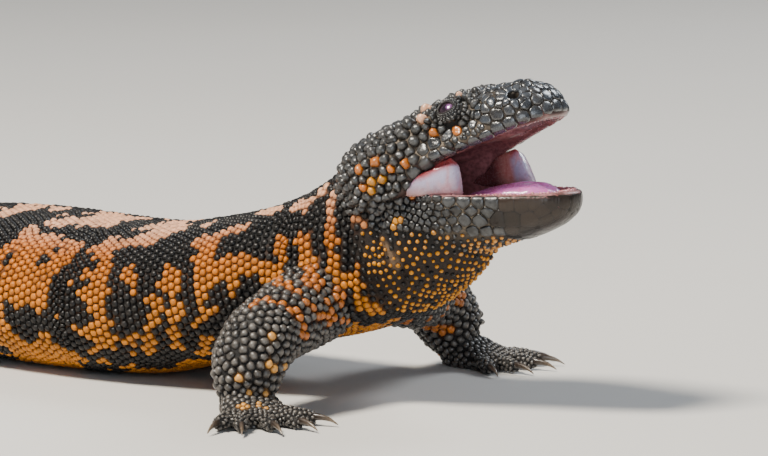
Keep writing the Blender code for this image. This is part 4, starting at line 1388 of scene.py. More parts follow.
def beadForms(owners, angle, under, random):  # each bead's radius and height
    facts, width, tallness = beadForm, beadForm["width"], beadForm["tall"]
    top, low = upperJaw.measure(beadPlaces), lowerJaw.measure(beadPlaces)
    limb, head, jaw = isNode(owners, *limbNodes), isNode(owners, "head"), isNode(owners, "lower_jaw")
    size = beadPitches * width["body"]
    tall = np.full(len(beadPlaces), tallness["body"])
    belly = ease(*facts["belly"], np.abs(angle)) * isNode(owners, *bodyNodes)
    tall *= 1 - facts["bellyFlatter"] * belly
    size *= 1 + facts["bellyWider"] * belly
    for key, mine in (("limb", limb), ("head", head), ("jaw", jaw)):
        size[mine] = beadPitches[mine] * width[key]
    crown = facts["crownMore"] * ease(*facts["crownFrom"], top[:, 0])
    crownTall = tallness["head"] + crown * ease(*facts["crownAbove"], top[:, 2])
    crownTall -= facts["snoutLess"] * ease(*facts["snoutFrom"], top[:, 0])
    tall[isNode(owners, "hand", "foot")] = tallness["hand"]
    tall[head] = np.maximum(crownTall, facts["headLeast"])[head]
    tall[jaw] = tallness["jaw"]
    size *= 1 - under * np.where(jaw, *facts["throatLess"])
    tall = tall * (1 - under) + tallness["throat"] * under
    tall[limb] = tallness["limb"]
    lip = beadKinds == "lip"
    size[lip] = beadPitches[lip] * width["lip"]
    chin = ease(*facts["chinFrom"], low[:, 0]) * jaw
    tall[lip] = (tallness["lip"] - facts["lipLess"] * chin)[lip]
    tall[jaw & ~lip] *= (1 - facts["chinFlatter"] * chin)[jaw & ~lip]
    folded = nearFolds(beadPlaces) & head & (beadKinds == "free")
    for key, mine in (("fold", folded), ("lid", beadKinds == "lid"), ("nostril", beadKinds == "nostril")):
        size[mine] = beadPitches[mine] * width[key]
        tall[mine] = tallness[key]
    vary = random.uniform(*facts["widthRange"], len(size))
    vary *= 1 - under * random.uniform(*facts["throatRange"], len(size))
    return size * vary, tall * random.uniform(*facts["tallRange"], len(size))


tinting = {
    "backTo": -0.35,  # the photo shows the body between these angles from the back
    "flankTo": 2.3,
    "dustAndLightFrom": (0.1, 0.6),  # joints along a limb
    "chinFrom": (27 * mm, 34 * mm), "limbPatch": 6 * mm, "limbFringe": 2 * mm, "fringeShare": 0.35,
    "limbLeast": 0.27, "throatPatch": 1.1 * mm, "throatLeast": 0.2, "throatEdge": 0.25,
    "throatBlack": 0.4, "throatYellow": 0.8,
    "bright": 0.2,  # the strongest channel of a bright tint is above this
    "brightRange": (0.72, 1.12), "darkRange": (0.55, 1.7),
}


def beadColours(owners, arc, angle, marked, under, random):
    facts = tinting
    low = lowerJaw.measure(beadPlaces)
    limb, lip = isNode(owners, *limbNodes), beadKinds == "lip"
    across, down = pixelsOf(beadPlaces)
    edge = markings["shownFrom"][1] + markings["shownSlant"] * (across - markings["shownFrom"][0])
    shown = (arc < markings["shownTo"]) & (angle > facts["backTo"]) & (angle < facts["flankTo"])
    shown &= (across > markings["shownRight"]) & (down > edge)
    onLine = nearLines(beadPlaces)
    tints = bodyTints(np.where(shown, onLine, marked > 0) & isNode(owners, *bodyNodes), angle)
    # Painted light: each limb turns from black where it meets the body to a lighter black further out, dust
    # and painted light together
    for key, path in limbPaths.items():
        mine = isNode(owners, *limbs[key][1:])
        share = ease(*facts["dustAndLightFrom"], limbMeasure(path, beadPlaces))
        tints[mine] = blend(markings["black"], markings["dustyAndLit"], share)[mine]
    # The head's beads take the crown's lighter black, which is partly painted light
    tints[isNode(owners, "head")] = markings["crown"]
    chin = ease(*facts["chinFrom"], low[:, 0]) * isNode(owners, "lower_jaw")
    tints = blend(tints, markings["chin"], chin)
    patches = noiseAt(beadPlaces, facts["limbPatch"], 21.0)
    patches += facts["fringeShare"] * noiseAt(beadPlaces, facts["limbFringe"], 31.0)
    rightArm = isNode(owners, *limbs["armRight"][1:])
    tints[limb & np.where(rightArm, onLine, patches > facts["limbLeast"])] = markings["orange"]
    least = facts["throatEdge"] * (1 - under) - facts["throatLeast"]
    throatMarked = noiseAt(beadPlaces, facts["throatPatch"], 41.0) > least
    tints[(under > facts["throatBlack"]) & ~lip] = markings["black"]
    tints[throatMarked & (under > facts["throatYellow"]) & ~lip] = markings["yellow"]
    spotTints(beadPlaces, tints)
    bright, dark = (random.uniform(*facts[key], len(tints)) for key in ("brightRange", "darkRange"))
    return tints * np.where(tints.max(axis=1) > facts["bright"], bright, dark)[:, None]


bakeFacts = {  # where each part's beads lie on the unwrap
    "edge": 0.02, "bodyScale": 1.5, "bodyTall": 0.26, "headFrom": 0.62, "headBack": 20 * mm,
    "headScale": 4.5, "headTall": 0.40, "limbStep": 0.24, "limbScale": 0.07, "limbFrom": 0.45,
    "limbTall": 0.12, "lidScale": 14,
    "lidFrom": (0.60, 0.80),  # of the left eye and the right
    "gumFrom": (0.30, 0.75), "gumScale": (5, 4),
    "patch": 0.0014,  # the size of each bead's own patch
}


def shareOfTurn(angles):
    return angles / (2 * math.pi) + 0.5


def bakePlaces(owners, arc, angle):  # each bead's root on an unwrap of the skin: the body, head and limbs
    facts = bakeFacts
    spots = np.zeros((len(beadPlaces), 3))
    spots[:, 0] = facts["edge"] + (arc - arc.min()) * facts["bodyScale"]
    spots[:, 1] = facts["edge"] + shareOfTurn(angle) * facts["bodyTall"]
    head = isNode(owners, "head", "lower_jaw")
    mid = gape.measure(beadPlaces)[head]
    spots[head, 0] = facts["headFrom"] + (mid[:, 0] + facts["headBack"]) * facts["headScale"]
    spots[head, 1] = facts["edge"] + shareOfTurn(np.arctan2(mid[:, 1], mid[:, 2])) * facts["headTall"]
    for number, (key, path) in enumerate(limbPaths.items()):
        mine = isNode(owners, *limbs[key][1:])
        share = limbMeasure(path, beadPlaces)[mine]
        gap = (beadPlaces - path[1])[mine]
        turn = shareOfTurn(np.arctan2(gap[:, 1], gap[:, 2]))
        spots[mine, 0] = facts["edge"] + facts["limbStep"] * number + share * facts["limbScale"]
        spots[mine, 1] = facts["limbFrom"] + turn * facts["limbTall"]
    return spots


def describeBeads():
    tree = nearestTree(skinPlaces)
    normals = np.array([skinNormals[tree.find(p)[1]] for p in beadPlaces])
    owners = ownersOf(beadPlaces)
    marked, arc, angle = markedShare(beadPlaces)
    under = throatShare(beadPlaces)
    random = np.random.default_rng(8)
    tints = beadColours(owners, arc, angle, marked, under, random)
    size, tall = beadForms(owners, angle, under, random)
    cloud = {"centre": beadPlaces, "facing": normals, "root": bakePlaces(owners, arc, angle), "size": size,
             "tall": tall, "tint": tints}
    return cloud, owners, arc


beadCloud, beadOwners, beadArcs = describeBeads()
print("beads described")


# Bead coat: a domed bead on every point, cut to its own cell among its neighbours, and joined into one mesh

def beadShape(name, sides, rings):
    places, rises = [], []
    for radius, height in rings:
        for k in range(sides):
            turn = 2 * math.pi * k / sides
            places.append((radius * math.cos(turn), radius * math.sin(turn), height))
            rises.append(max(height, 0))
    places.append((0, 0, 1))
    rises.append(1)
    faces = ringFaces(len(rings), sides)
    last = (len(rings) - 1) * sides
    faces += [(last + k, last + (k + 1) % sides, len(places) - 1) for k in range(sides)]
    faces.append(tuple(reversed(range(sides))))
    mesh = bpy.data.meshes.new(name)
    mesh.from_pydata(places, [], faces)
    setValues(mesh, "local", places, "FLOAT_VECTOR")
    setValues(mesh, "rise", rises)
    mesh.shade_smooth()
    return addObject(name, mesh)


beadRings = ((1.0, -0.35), (0.95, 0.25), (0.72, 0.70), (0.38, 0.94))
flatRings = ((1.0, -0.30), (0.99, 0.12), (0.94, 0.50), (0.84, 0.78), (0.60, 0.93), (0.30, 0.99))
plateRings = ((1.0, -0.30), (0.985, 0.06), (0.90, 0.40), (0.74, 0.69), (0.50, 0.89), (0.24, 0.98))


coatInputs = {
    "Points": "Geometry", "Bead": "Object", "Skin": "Object", "Finish": "Material", "Fill": "Float",
    "Bake patch": "Float", "Unevenness": "Float", "Lumps per metre": "Float", "Seed": "Int",
}
coatFacts = {"least": 0.92, "most": 1.08, "passes": 3, "fill": 0.94, "uneven": 0.25, "lumps": 900.0,
             "seed": 1, "offFloor": 0.02 * mm}


def beadCoatTree():
    tree = bpy.data.node_groups.new("beadCoat", "GeometryNodeTree")
    for name, kind in coatInputs.items():
        tree.interface.new_socket(name, in_out="INPUT", socket_type="NodeSocket" + kind)
    tree.interface.new_socket("Coat", in_out="OUTPUT", socket_type="NodeSocketGeometry")
    start = tree.nodes.new("NodeGroupInput")
    given = {s.name: Value(tree, s) for s in start.outputs if s.name}

    def stored(name, kind="FLOAT_VECTOR"):
        settings = {"data_type": kind}
        return addNode(tree, "GeometryNodeInputNamedAttribute", settings, {"Name": name}, "Attribute")

    def fromObject(which):
        return addNode(tree, "GeometryNodeObjectInfo", None, {"Object": given[which]}, "Geometry")

    size, tall = stored("size", "FLOAT"), stored("tall", "FLOAT")
    turn = addNode(tree, "FunctionNodeAxesToRotation", None,
                   {"Primary Axis": stored("facing"), "Secondary Axis": stored("along")})
    vary = addNode(tree, "FunctionNodeRandomValue", None,
                   {"Min": coatFacts["least"], "Max": coatFacts["most"], "Seed": given["Seed"]})
    scale = addNode(tree, "ShaderNodeCombineXYZ", None, {"X": size, "Y": size, "Z": tall * vary})
    coat = addNode(tree, "GeometryNodeInstanceOnPoints", None,
                   {"Points": given["Points"], "Selection": stored("mine", "BOOLEAN"),
                    "Instance": fromObject("Bead"), "Rotation": turn, "Scale": scale})
    coat = addNode(tree, "GeometryNodeRealizeInstances", None, {"Geometry": coat})
    here = addNode(tree, "GeometryNodeInputPosition")
    centre, facing = stored("centre"), stored("facing")
    offset = here.vector("SUBTRACT", centre)
    lift = offset.vector("DOT_PRODUCT", facing)
    flat = offset.vector("SUBTRACT", facing.vector("SCALE", lift))
    way = flat.vector("NORMALIZE")
    reach = size
    for _ in range(coatFacts["passes"]):  # each finds the neighbour beyond the rim and stops half way to it
        rim = centre.vector("ADD", way.vector("SCALE", reach))
        index = addNode(tree, "GeometryNodeSampleNearest", None,
                        {"Geometry": given["Points"], "Sample Position": rim})
        other = addNode(tree, "GeometryNodeSampleIndex", {"data_type": "FLOAT_VECTOR"},
                        {"Geometry": given["Points"], "Value": here, "Index": index})
        gap = other.vector("SUBTRACT", centre)
        apart = gap.vector("DOT_PRODUCT", gap)
        itself = apart.maths("LESS_THAN", tiny)
        towards = (way.vector("DOT_PRODUCT", gap) * 2).maths("MAXIMUM", tiny)
        reach = reach.maths("MINIMUM", apart / towards + itself)
    flat = flat.vector("SCALE", reach * given["Fill"] / size)
    values = {"Geometry": fromObject("Skin"), "Sample Position": centre.vector("ADD", flat)}
    foot = addNode(tree, "GeometryNodeProximity", {"target_element": "FACES"}, values, "Position")
    lumps = addNode(tree, "ShaderNodeTexNoise", None,
                    {"Vector": here, "Scale": given["Lumps per metre"], "Detail": 1.0}, "Fac")
    swell = (lumps - 0.5) * given["Unevenness"] * lift.maths("MAXIMUM", 0.0)
    place = foot.vector("ADD", facing.vector("SCALE", lift + swell))
    coat = addNode(tree, "GeometryNodeSetPosition", None, {"Geometry": coat, "Position": place})
    bake = stored("root").vector("ADD", stored("local").vector("SCALE", given["Bake patch"]))
    coat = addNode(tree, "GeometryNodeStoreNamedAttribute", {"data_type": "FLOAT2", "domain": "CORNER"},
                   {"Geometry": coat, "Name": "OFBake", "Value": bake})
    coat = addNode(tree, "GeometryNodeRealizeInstances", None, {"Geometry": coat})
    coat = addNode(tree, "GeometryNodeSetMaterial", None, {"Geometry": coat, "Material": given["Finish"]})
    end = tree.nodes.new("NodeGroupOutput")
    connect(tree, coat, end.inputs[0])
    return tree


beadCoat = beadCoatTree()
fineBead = beadShape("fineBead", 10, beadRings)
headPlate = beadShape("headPlate", 14, plateRings)
flatPlate = beadShape("flatPlate", 14, flatRings)
beadStuff = beadMaterial("beads", beadFinish)
limbStuff = beadMaterial("limbBeads", limbFinish)
plateStuff = beadMaterial("headPlates", plateFinish)
snoutStuff = beadMaterial("snoutPlates", snoutFinish)
chinStuff = beadMaterial("chinPlates", chinFinish)


def makeCoat(name, cloud, mine, template, finish, fill=coatFacts["fill"], uneven=coatFacts["uneven"],
             base=None):
    mesh = bpy.data.meshes.new(name + "Points")
    mesh.from_pydata(cloud["centre"].tolist(), [], [])
    for field in ("centre", "facing", "root"):
        setValues(mesh, field, cloud[field], "FLOAT_VECTOR")
    setValues(mesh, "along", np.tile(np.array(upperJaw.forward), (len(cloud["centre"]), 1)), "FLOAT_VECTOR")
    setValues(mesh, "size", cloud["size"])
    setValues(mesh, "tall", cloud["tall"])
    setValues(mesh, "mine", mine, "BOOLEAN")
    setColours(mesh, "tint", cloud["tint"])
    thing = addObject(name + "Points", mesh)
    maker = thing.modifiers.new("beadCoat", "NODES")
    maker.node_group = beadCoat
    values = {"Bead": template, "Skin": base or skin, "Finish": finish, "Fill": fill,
              "Bake patch": bakeFacts["patch"], "Unevenness": uneven,
              "Lumps per metre": coatFacts["lumps"], "Seed": coatFacts["seed"]}
    for socket in beadCoat.interface.items_tree:
        if socket.in_out == "INPUT" and socket.name in values:
            maker[socket.identifier] = values[socket.name]
    made = evaluatedMesh(thing)
    made.name = name
    places = coordsOf(made)
    places[:, 2] = np.maximum(places[:, 2], coatFacts["offFloor"])
    setCoords(made, places)
    for leftover in ("centre", "facing", "along", "root", "size", "tall", "mine", "local"):
        if leftover in made.attributes:
            made.attributes.remove(made.attributes[leftover])
    piece = addObject(name, made, finish)
    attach(piece, "root")
    made.calc_loop_triangles()
    print(name, int(mine.sum()), "beads,", len(made.loop_triangles), "triangles")


# The skin's colours: dark or orange under the beads, cream between plates, and wet red in the mouth, with
# painted shade in the openings, under the upper lip, deep in the mouth and between orange beads

skinTones = {
    "crease": (0.17, 0.135, 0.095), "jawCrease": (0.20, 0.16, 0.11), "black": (0.007, 0.006, 0.006),
    "throat": (0.020, 0.012, 0.008), "foldCream": (0.15, 0.12, 0.085), "orangeShare": 0.36,
    "bareFold": (0.22, 0.145, 0.085), "gullet": (0.16, 0.05, 0.055), "palate": (0.34, 0.13, 0.14),
    "palateFront": (0.24, 0.10, 0.09), "ridge": (0.62, 0.31, 0.28), "upperRim": (0.060, 0.031, 0.026),
    "lowerRim": (0.42, 0.20, 0.20),
}
toneEdges = {  # where one tone gives way to another, mostly along or above a jaw's axis
    "throat": 0.3, "beadReach": 1.5 * mm, "above": (-3 * mm, 3 * mm), "eye": (4.6 * mm, 6.2 * mm),
    "snout": (30 * mm, 35 * mm), "snoutShare": 0.75, "jawSide": (-12 * mm, -5 * mm),
    "jawBack": (12 * mm, 18 * mm), "jawFront": (25 * mm, 31 * mm), "jawFrontShare": 0.9,
    "deep": (-2 * mm, 13 * mm), "fore": (16 * mm, 36 * mm),
    "ridgeShares": (0.25, 0.75, 0.6),  # at the back, more at the front, and of the tint in all
    "wetRims": (0.6, 0.25),  # the lower and the upper
    "even": 2, "evenWet": 3,
}


def skinColours():
    edges = toneEdges
    black, crease, jawCrease = (np.array(skinTones[k]) for k in ("black", "crease", "jawCrease"))
    tree = nearestTree(beadPlaces)
    nearest, gaps = np.array([tree.find(p)[1:] for p in skinPlaces]).T
    nearTints = beadCloud["tint"][nearest.astype(int)]
    under = throatShare(skinPlaces)
    bright = (nearTints.max(axis=1) > tinting["bright"]) & (under < edges["throat"])
    bright &= gaps < edges["beadReach"]
    # Under orange beads the skin is a darker orange: its own colour, and painted shade in the gaps between
    # the beads
    tints = np.where(bright[:, None], nearTints * skinTones["orangeShare"], black)
    tints = blend(tints, skinTones["throat"], under)
    top, low = upperJaw.measure(skinPlaces), lowerJaw.measure(skinPlaces)
    head, jaw = isNode(skinOwners, "head"), isNode(skinOwners, "lower_jaw")
    cream = crease * ease(*edges["above"], top[:, 2])[:, None] + black
    for axes in eyeAxes:
        cream = blend(black, cream, ease(*edges["eye"], distanceTo(skinPlaces, axes.centre)))
    cream = cream * (1 - edges["snoutShare"] * ease(*edges["snout"], top[:, 0]))[:, None]
    tints[head] = cream[head]
    tints[nearFolds(skinPlaces) & head] = skinTones["foldCream"]
    tints[nearFolds(skinPlaces, bareFold)] = skinTones["bareFold"]
    side = ease(*edges["jawSide"], low[:, 2]) * ease(*edges["jawBack"], low[:, 0])
    side *= 1 - ease(*edges["jawFront"], low[:, 0]) * edges["jawFrontShare"]
    tints[jaw & ~bright] = (jawCrease * side[:, None] + black)[jaw & ~bright]
    inside, rimTop, rimLow, along = mouthShares(skinPlaces, skinNormals)
    fore = ease(*edges["fore"], along)
    # Darker towards the gullet: its own colour, deepened with painted shade deep in the throat
    wetTint = blend(skinTones["gullet"], skinTones["palate"], ease(*edges["deep"], along))
    wetTint = blend(wetTint, skinTones["palateFront"], fore)
    back, more, most = edges["ridgeShares"]
    wetTint = blend(wetTint, skinTones["ridge"], palateRidges(skinPlaces) * (back + more * fore) * most)
    # Painted shade: the skin inside each nostril and ear opening is coloured black so that the holes read
    # dark
    for facts in openings:
        for side in (-1, 1):
            tints[openingReach(skinPlaces, facts, side) < openingWall[1]] = black
    # The upper lip's underside and inner rim face down and are coloured dark: their own colour, darkened with
    # painted shade
    tints[underLip(skinPlaces, skinNormals, skinOwners)] = skinTones["upperRim"]
    tints[inside] = wetTint[inside]
    tints[rimTop] = skinTones["upperRim"]
    tints[rimLow] = skinTones["lowerRim"]
    lines = edgesOf(skinMesh)
    setColours(skinMesh, "tint", smoothed(tints, lines, 0.5, edges["even"]))
    lower, upper = edges["wetRims"]
    wet = (inside + lower * rimLow + upper * rimTop)[:, None]
    setValues(skinMesh, "wet", smoothed(wet, lines, 0.5, edges["evenWet"]))


skinColours()
print("skin coloured")


# Lids: a shell over each eyeball with an almond opening and a rolled rim

lidFacts = {
    "points": 56, "outer": 3.45 * mm,
    "profile": (  # share of the way out from the opening, and height in millimetres
        (0.0, -0.34), (0.0, -0.02), (0.035, 0.10), (0.10, 0.12), (0.22, 0.04), (0.4, 0.0), (0.6, 0.0),
        (0.8, 0.0), (1.0, -0.05), (1.0, -0.42), (0.5, -0.42),
    ),
    "almond": 1.25, "tint": (0.022, 0.019, 0.019), "wet": 0.25,
    "sway": 0.12,  # of a pitch, and the granules' sizes, heights and shades
    "pitchRange": (0.8, 1.2), "size": 0.6, "tall": 0.42, "shade": 1.5, "shadeRange": (0.6, 2.2),
}


def makeLids(axes, name):
    facts, count, outer = lidFacts, lidFacts["points"], lidFacts["outer"]
    places = []
    for share, lift in facts["profile"]:
        for k in range(count):
            cosine, sine = math.cos(2 * math.pi * k / count), math.sin(2 * math.pi * k / count)
            across = cosine * eyes["halfLength"]
            height = math.copysign(abs(sine) ** facts["almond"], sine) * eyes["halfHeight"]
            places.append(axes.onBall(across + (cosine * outer - across) * share,
                                      height + (sine * outer - height) * share,
                                      eyes["lidRadius"] + lift * mm))
    mesh = bpy.data.meshes.new(name)
    mesh.from_pydata(places, [], ringFaces(len(facts["profile"]), count, closed=True))
    if mesh.polygons[count * 6].normal.dot(axes.out) < 0:  # a face of the outside
        mesh.flip_normals()
    mesh.shade_smooth()
    setColours(mesh, "tint", np.tile(facts["tint"], (len(places), 1)))
    setValues(mesh, "wet", np.full(len(places), facts["wet"]))
    lids = addObject(name, mesh, skinMesh.materials[0])
    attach(lids, "root")
    cloud = lidCloud(axes)
    everything = np.ones(len(cloud["size"]), bool)
    makeCoat(name + "Granules", cloud, everything, fineBead, plateStuff, 0.95, 0.4, lids)


def lidCloud(axes):  # rows of small granules on the lids, beyond the opening's rim
    facts = lidFacts
    places, pitches = [], []
    random = np.random.default_rng(23)
    for number, (radius, count, pitch) in enumerate(eyes["lidGranules"]):
        for across, height in ringAround(radius, count, 0.5 * number):
            own = pitch * mm * random.uniform(*facts["pitchRange"])
            shift = random.uniform(-facts["sway"], facts["sway"], 2) * own
            places.append(np.array(axes.onBall(across + shift[0], height + shift[1], eyes["lidRadius"])))
            pitches.append(own)
    places, pitches = np.array(places), np.array(pitches)
    facing = places - np.array(axes.centre)
    facing /= np.linalg.norm(facing, axis=1)[:, None]
    mid = upperJaw.measure(places)
    roots = np.zeros((len(places), 3))
    roots[:, :2] = (mid - mid.min(axis=0))[:, ::2] * bakeFacts["lidScale"]
    roots[:, :2] += (bakeFacts["headFrom"], bakeFacts["lidFrom"][axes.side < 0])
    tints = np.tile(np.array(markings["black"]) * facts["shade"], (len(places), 1))
    tints *= random.uniform(*facts["shadeRange"], (len(places), 1))
    return {"centre": places, "facing": facing, "root": roots, "size": pitches * facts["size"],
            "tall": pitches * facts["tall"], "tint": tints}


eyeFinish = {
    "fibres": 0.35 * mm, "fibreTint": (0.035, 0.018, 0.03), "rough": (0.04, 0.06), "coatRough": 0.02,
    "dark": (0.004, 0.003, 0.005), "iris": (0.028, 0.014, 0.020),
    "irisStarts": (0.30, 0.34),  # angles from the eye's axis
    "irisEnds": (0.72, 0.80), "paintedGlint": (0.30, 0.12, 0.34), "paintedGlintAt": (1.0 * mm, -0.1 * mm),
    "paintedGlintReach": (0.35 * mm, 1.0 * mm),
}


def eyeMaterial(facts):
    material, tree, shader = newMaterial("eyeball")
    fibres = grain(tree, facts["fibres"], 3.0, output="Fac")
    setInputs(tree, shader, {
        "Base Color": mixed(tree, fibres * 0.5, attribute(tree, "tint"), facts["fibreTint"]),
        "Roughness": fibres * facts["rough"][1] + facts["rough"][0],
        "Coat Weight": 1.0,
        "Coat Roughness": facts["coatRough"],
    })
    return material


def makeEye(axes, name, node, finish):
    facts = eyeFinish
    ball = bmesh.new()
    bmesh.ops.create_uvsphere(ball, u_segments=48, v_segments=28, radius=eyes["radius"])
    mesh = bpy.data.meshes.new(name)
    ball.to_mesh(mesh)
    ball.free()
    places = coordsOf(mesh)
    tilt = np.arccos(np.clip(places[:, 2] / eyes["radius"], -1, 1))
    iris = ease(*facts["irisStarts"], tilt) * (1 - ease(*facts["irisEnds"], tilt))
    # A painted glint: a violet spot on the front of the eye
    gap = np.hypot(places[:, 0] - facts["paintedGlintAt"][0], places[:, 1] - facts["paintedGlintAt"][1])
    paintedGlint = (1 - ease(*facts["paintedGlintReach"], gap)) * (places[:, 2] > 0)
    tints = blend(blend(facts["dark"], facts["iris"], iris), facts["paintedGlint"], paintedGlint)
    turn = np.array((axes.along, axes.above, axes.out))
    if axes.along.cross(axes.above).dot(axes.out) < 0:
        mesh.flip_normals()
    setCoords(mesh, places @ turn + np.array(axes.centre))
    setColours(mesh, "tint", tints)
    mesh.shade_smooth()
    eye = addObject(name, mesh, finish)
    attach(eye, "root")
    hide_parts(node)


eyeStuff = eyeMaterial(eyeFinish)
for axes, name in zip(eyeAxes, ("Right", "Left")):
    makeLids(axes, "lids" + name)
    makeEye(axes, "eye" + name, "eye_" + name.lower(), eyeStuff)
print("eyes and lids made")


# Nostrils: a raised rim round each sunk opening

rimFacts = {"points": 28, "sides": 10, "thick": 0.46 * mm, "size": 1.22, "lift": 0.05 * mm, "tall": 1.2,
            "tint": (0.014, 0.014, 0.016)}


def makeNostrils():
    facts, opening, count, sides = rimFacts, openings[0], rimFacts["points"], rimFacts["sides"]
    places, faces, rises = [], [], []
    for side in (-1, 1):
        first = len(places)
        spot, ahead, above, outward = openingAxes(opening, side)
        ring = []
        for k in range(count):
            turn = 2 * math.pi * k / count
            flat = ahead * math.cos(turn) * opening["halfLength"] * facts["size"]
            flat += above * math.sin(turn) * opening["halfHeight"] * facts["size"]
            hit = skinTree.ray_cast(spot + flat + outward * nostril["cast"], -outward)
            ring.append(hit[0] + outward * facts["lift"])
        middle = sum(ring, Vector()) / count
        for spot in ring:
            spoke = (spot - middle).normalized() * facts["thick"]
            for j in range(sides):
                turn = 2 * math.pi * j / sides
                rise = outward * math.sin(turn) * facts["thick"] * facts["tall"]
                places.append(spot + spoke * math.cos(turn) + rise)
                rises.append(0.5 + 0.5 * math.sin(turn))
        faces += [tuple(first + k for k in face) for face in ringFaces(count, sides, closed=True)]
    mesh = bpy.data.meshes.new("nostrils")
    mesh.from_pydata(places, [], faces)
    solid = bmesh.new()
    solid.from_mesh(mesh)
    bmesh.ops.recalc_face_normals(solid, faces=solid.faces)
    solid.to_mesh(mesh)
    solid.free()
    mesh.shade_smooth()
    setColours(mesh, "tint", np.tile(facts["tint"], (len(places), 1)))
    setValues(mesh, "rise", rises)
    rims = addObject("nostrils", mesh, snoutStuff)
    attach(rims, "root")


makeNostrils()


# Soft parts of the mouth, regrown finer from the frame's own forms

softFacts = {
    "voxel": 0.4 * mm, "foldSmooth": 30, "tongueSmooth": 16,
    "give": (0.5, -0.51),  # drawn in and let out again, which keeps the form's size
    "even": 6, "grow": 0.25 * mm,
}


def fineMesh(node, smoothing):
    mesh = regrown(mergedMesh(node), softFacts["voxel"])
    places, edges = coordsOf(mesh), edgesOf(mesh)
    for _ in range(smoothing):
        for weight in softFacts["give"]:
            places = smoothed(places, edges, weight, 1)
    places = smoothed(places, edges, 0.5, softFacts["even"])
    setCoords(mesh, places)
    setCoords(mesh, places + normalsOf(mesh) * softFacts["grow"])
    mesh.shade_smooth()
    return mesh


wetFinish = {
    "veins": 1.6 * mm, "veinRange": (0.52, 0.66), "veinShare": 0.35, "veinTint": (0.75, 0.42, 0.42),
    "rough": (0.16, 0.2), "coat": 0.6, "coatRough": 0.1, "bump": 0.5,
    "glow": 0.25, "glowReach": (0.8 * mm, 0.3 * mm, 0.25 * mm),
}


def wetMaterial(name, bumpDepth, bumpSize, facts=wetFinish):
    material, tree, shader = newMaterial(name)
    tint = attribute(tree, "tint")
    veins = grain(tree, facts["veins"], 5.0, output="Fac").between(*facts["veinRange"])
    veined = mixed(tree, 1.0, tint, facts["veinTint"], "MULTIPLY")
    fine = grain(tree, bumpSize, 3.0, output="Fac")
    setInputs(tree, shader, {
        "Base Color": mixed(tree, veins * facts["veinShare"], tint, veined),
        "Roughness": fine * facts["rough"][1] + facts["rough"][0],
        "Coat Weight": facts["coat"],
        "Coat Roughness": facts["coatRough"],
        "Subsurface Weight": facts["glow"],
        "Subsurface Radius": facts["glowReach"],
        "Subsurface Scale": 1.0,
        "Normal": bump(tree, fine, facts["bump"], bumpDepth),
    })
    return material


foldTones = {
    "pale": (0.49, 0.43, 0.61), "red": (0.45, 0.075, 0.08), "tan": (0.50, 0.27, 0.22),
    "deep": (0.15, 0.05, 0.055), "pink": (0.58, 0.24, 0.22), "streak": (0.62, 0.30, 0.34),
}
foldFacts = {  # measured along and above the lower jaw's axis
    "rootUp": 1 * mm, "tall": 9 * mm,
    "lean": 3.0 * mm,  # of the right fold's edge, forwards at the top and back at the root
    "leftShift": 4.6 * mm, "shiftFrom": (4 * mm, 18 * mm), "pale": (-0.5 * mm, 4.5 * mm),
    "streakShape": (1.0, 1.0, 0.25), "streak": 1.3 * mm, "streakRange": (-0.05, 0.5),
    "streakFrom": (9 * mm, 16 * mm), "streakShare": 0.7, "cloud": 3 * mm, "cloudRange": (0.0, 0.7),
    "cloudShare": 0.6, "wave": 2 * mm, "sway": 0.5 * mm, "edge": (0.4 * mm, 2.6 * mm),
    "edgeAbove": 1.2 * mm, "slant": 0.35, "pink": (19.5 * mm, 22 * mm), "deep": (13 * mm, 19 * mm),
}


def foldTints(side, places):
    facts = foldFacts
    low, top = lowerJaw.measure(places), upperJaw.measure(places)
    tints = blend(foldTones["tan"], foldTones["pale"], ease(*facts["pale"], low[:, 2]))
    upright = noiseAt(places * np.array(facts["streakShape"]), facts["streak"], 91.0)
    streak = ease(*facts["streakRange"], upright) * ease(*facts["streakFrom"], low[:, 0])
    cloud = facts["cloudShare"] * ease(*facts["cloudRange"], noiseAt(places, facts["cloud"], 95.0))
    tints = blend(tints, foldTones["streak"], np.maximum(streak * facts["streakShare"], cloud))
    wavy = noiseAt(places, facts["wave"], 99.0) * facts["sway"]
    tints = blend(tints, foldTones["red"], 1 - ease(*facts["edge"], facts["edgeAbove"] + wavy - top[:, 2]))
    # On the far, left fold the rear part is pink and then dark; the dark part is painted shadow
    if side > 0:
        slanted = low[:, 0] + low[:, 2] * facts["slant"]
        for tone in ("pink", "deep"):
            tints = blend(tints, foldTones[tone], 1 - ease(*facts[tone], slanted))
    return tints


def makeFold(side, name, node, finish):
    facts = foldFacts
    mesh = fineMesh(node, softFacts["foldSmooth"])
    places = coordsOf(mesh)
    low = lowerJaw.measure(places)
    height = np.clip((low[:, 2] + facts["rootUp"]) / facts["tall"], 0, 1)
    shift = facts["lean"] * height - facts["lean"] * (1 - height) if side < 0 else facts["leftShift"]
    shift = shift * ease(*facts["shiftFrom"], low[:, 0])
    places = places + np.array(lowerJaw.forward) * shift[:, None]
    setCoords(mesh, places)
    setColours(mesh, "tint", foldTints(side, places))
    fold = addObject(name, mesh, finish)
    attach(fold, "root")
    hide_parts(node)


tongueFacts = {
    "groove": 0.9 * mm, "grooveDepth": 0.6 * mm, "grooveFrom": (16 * mm, 24 * mm),
    "lumps": 1.3 * mm, "lumpHeight": 0.12 * mm, "top": (-2 * mm, 3 * mm),
    "low": (0.50, 0.12, 0.26), "high": (0.86, 0.25, 0.66),
}


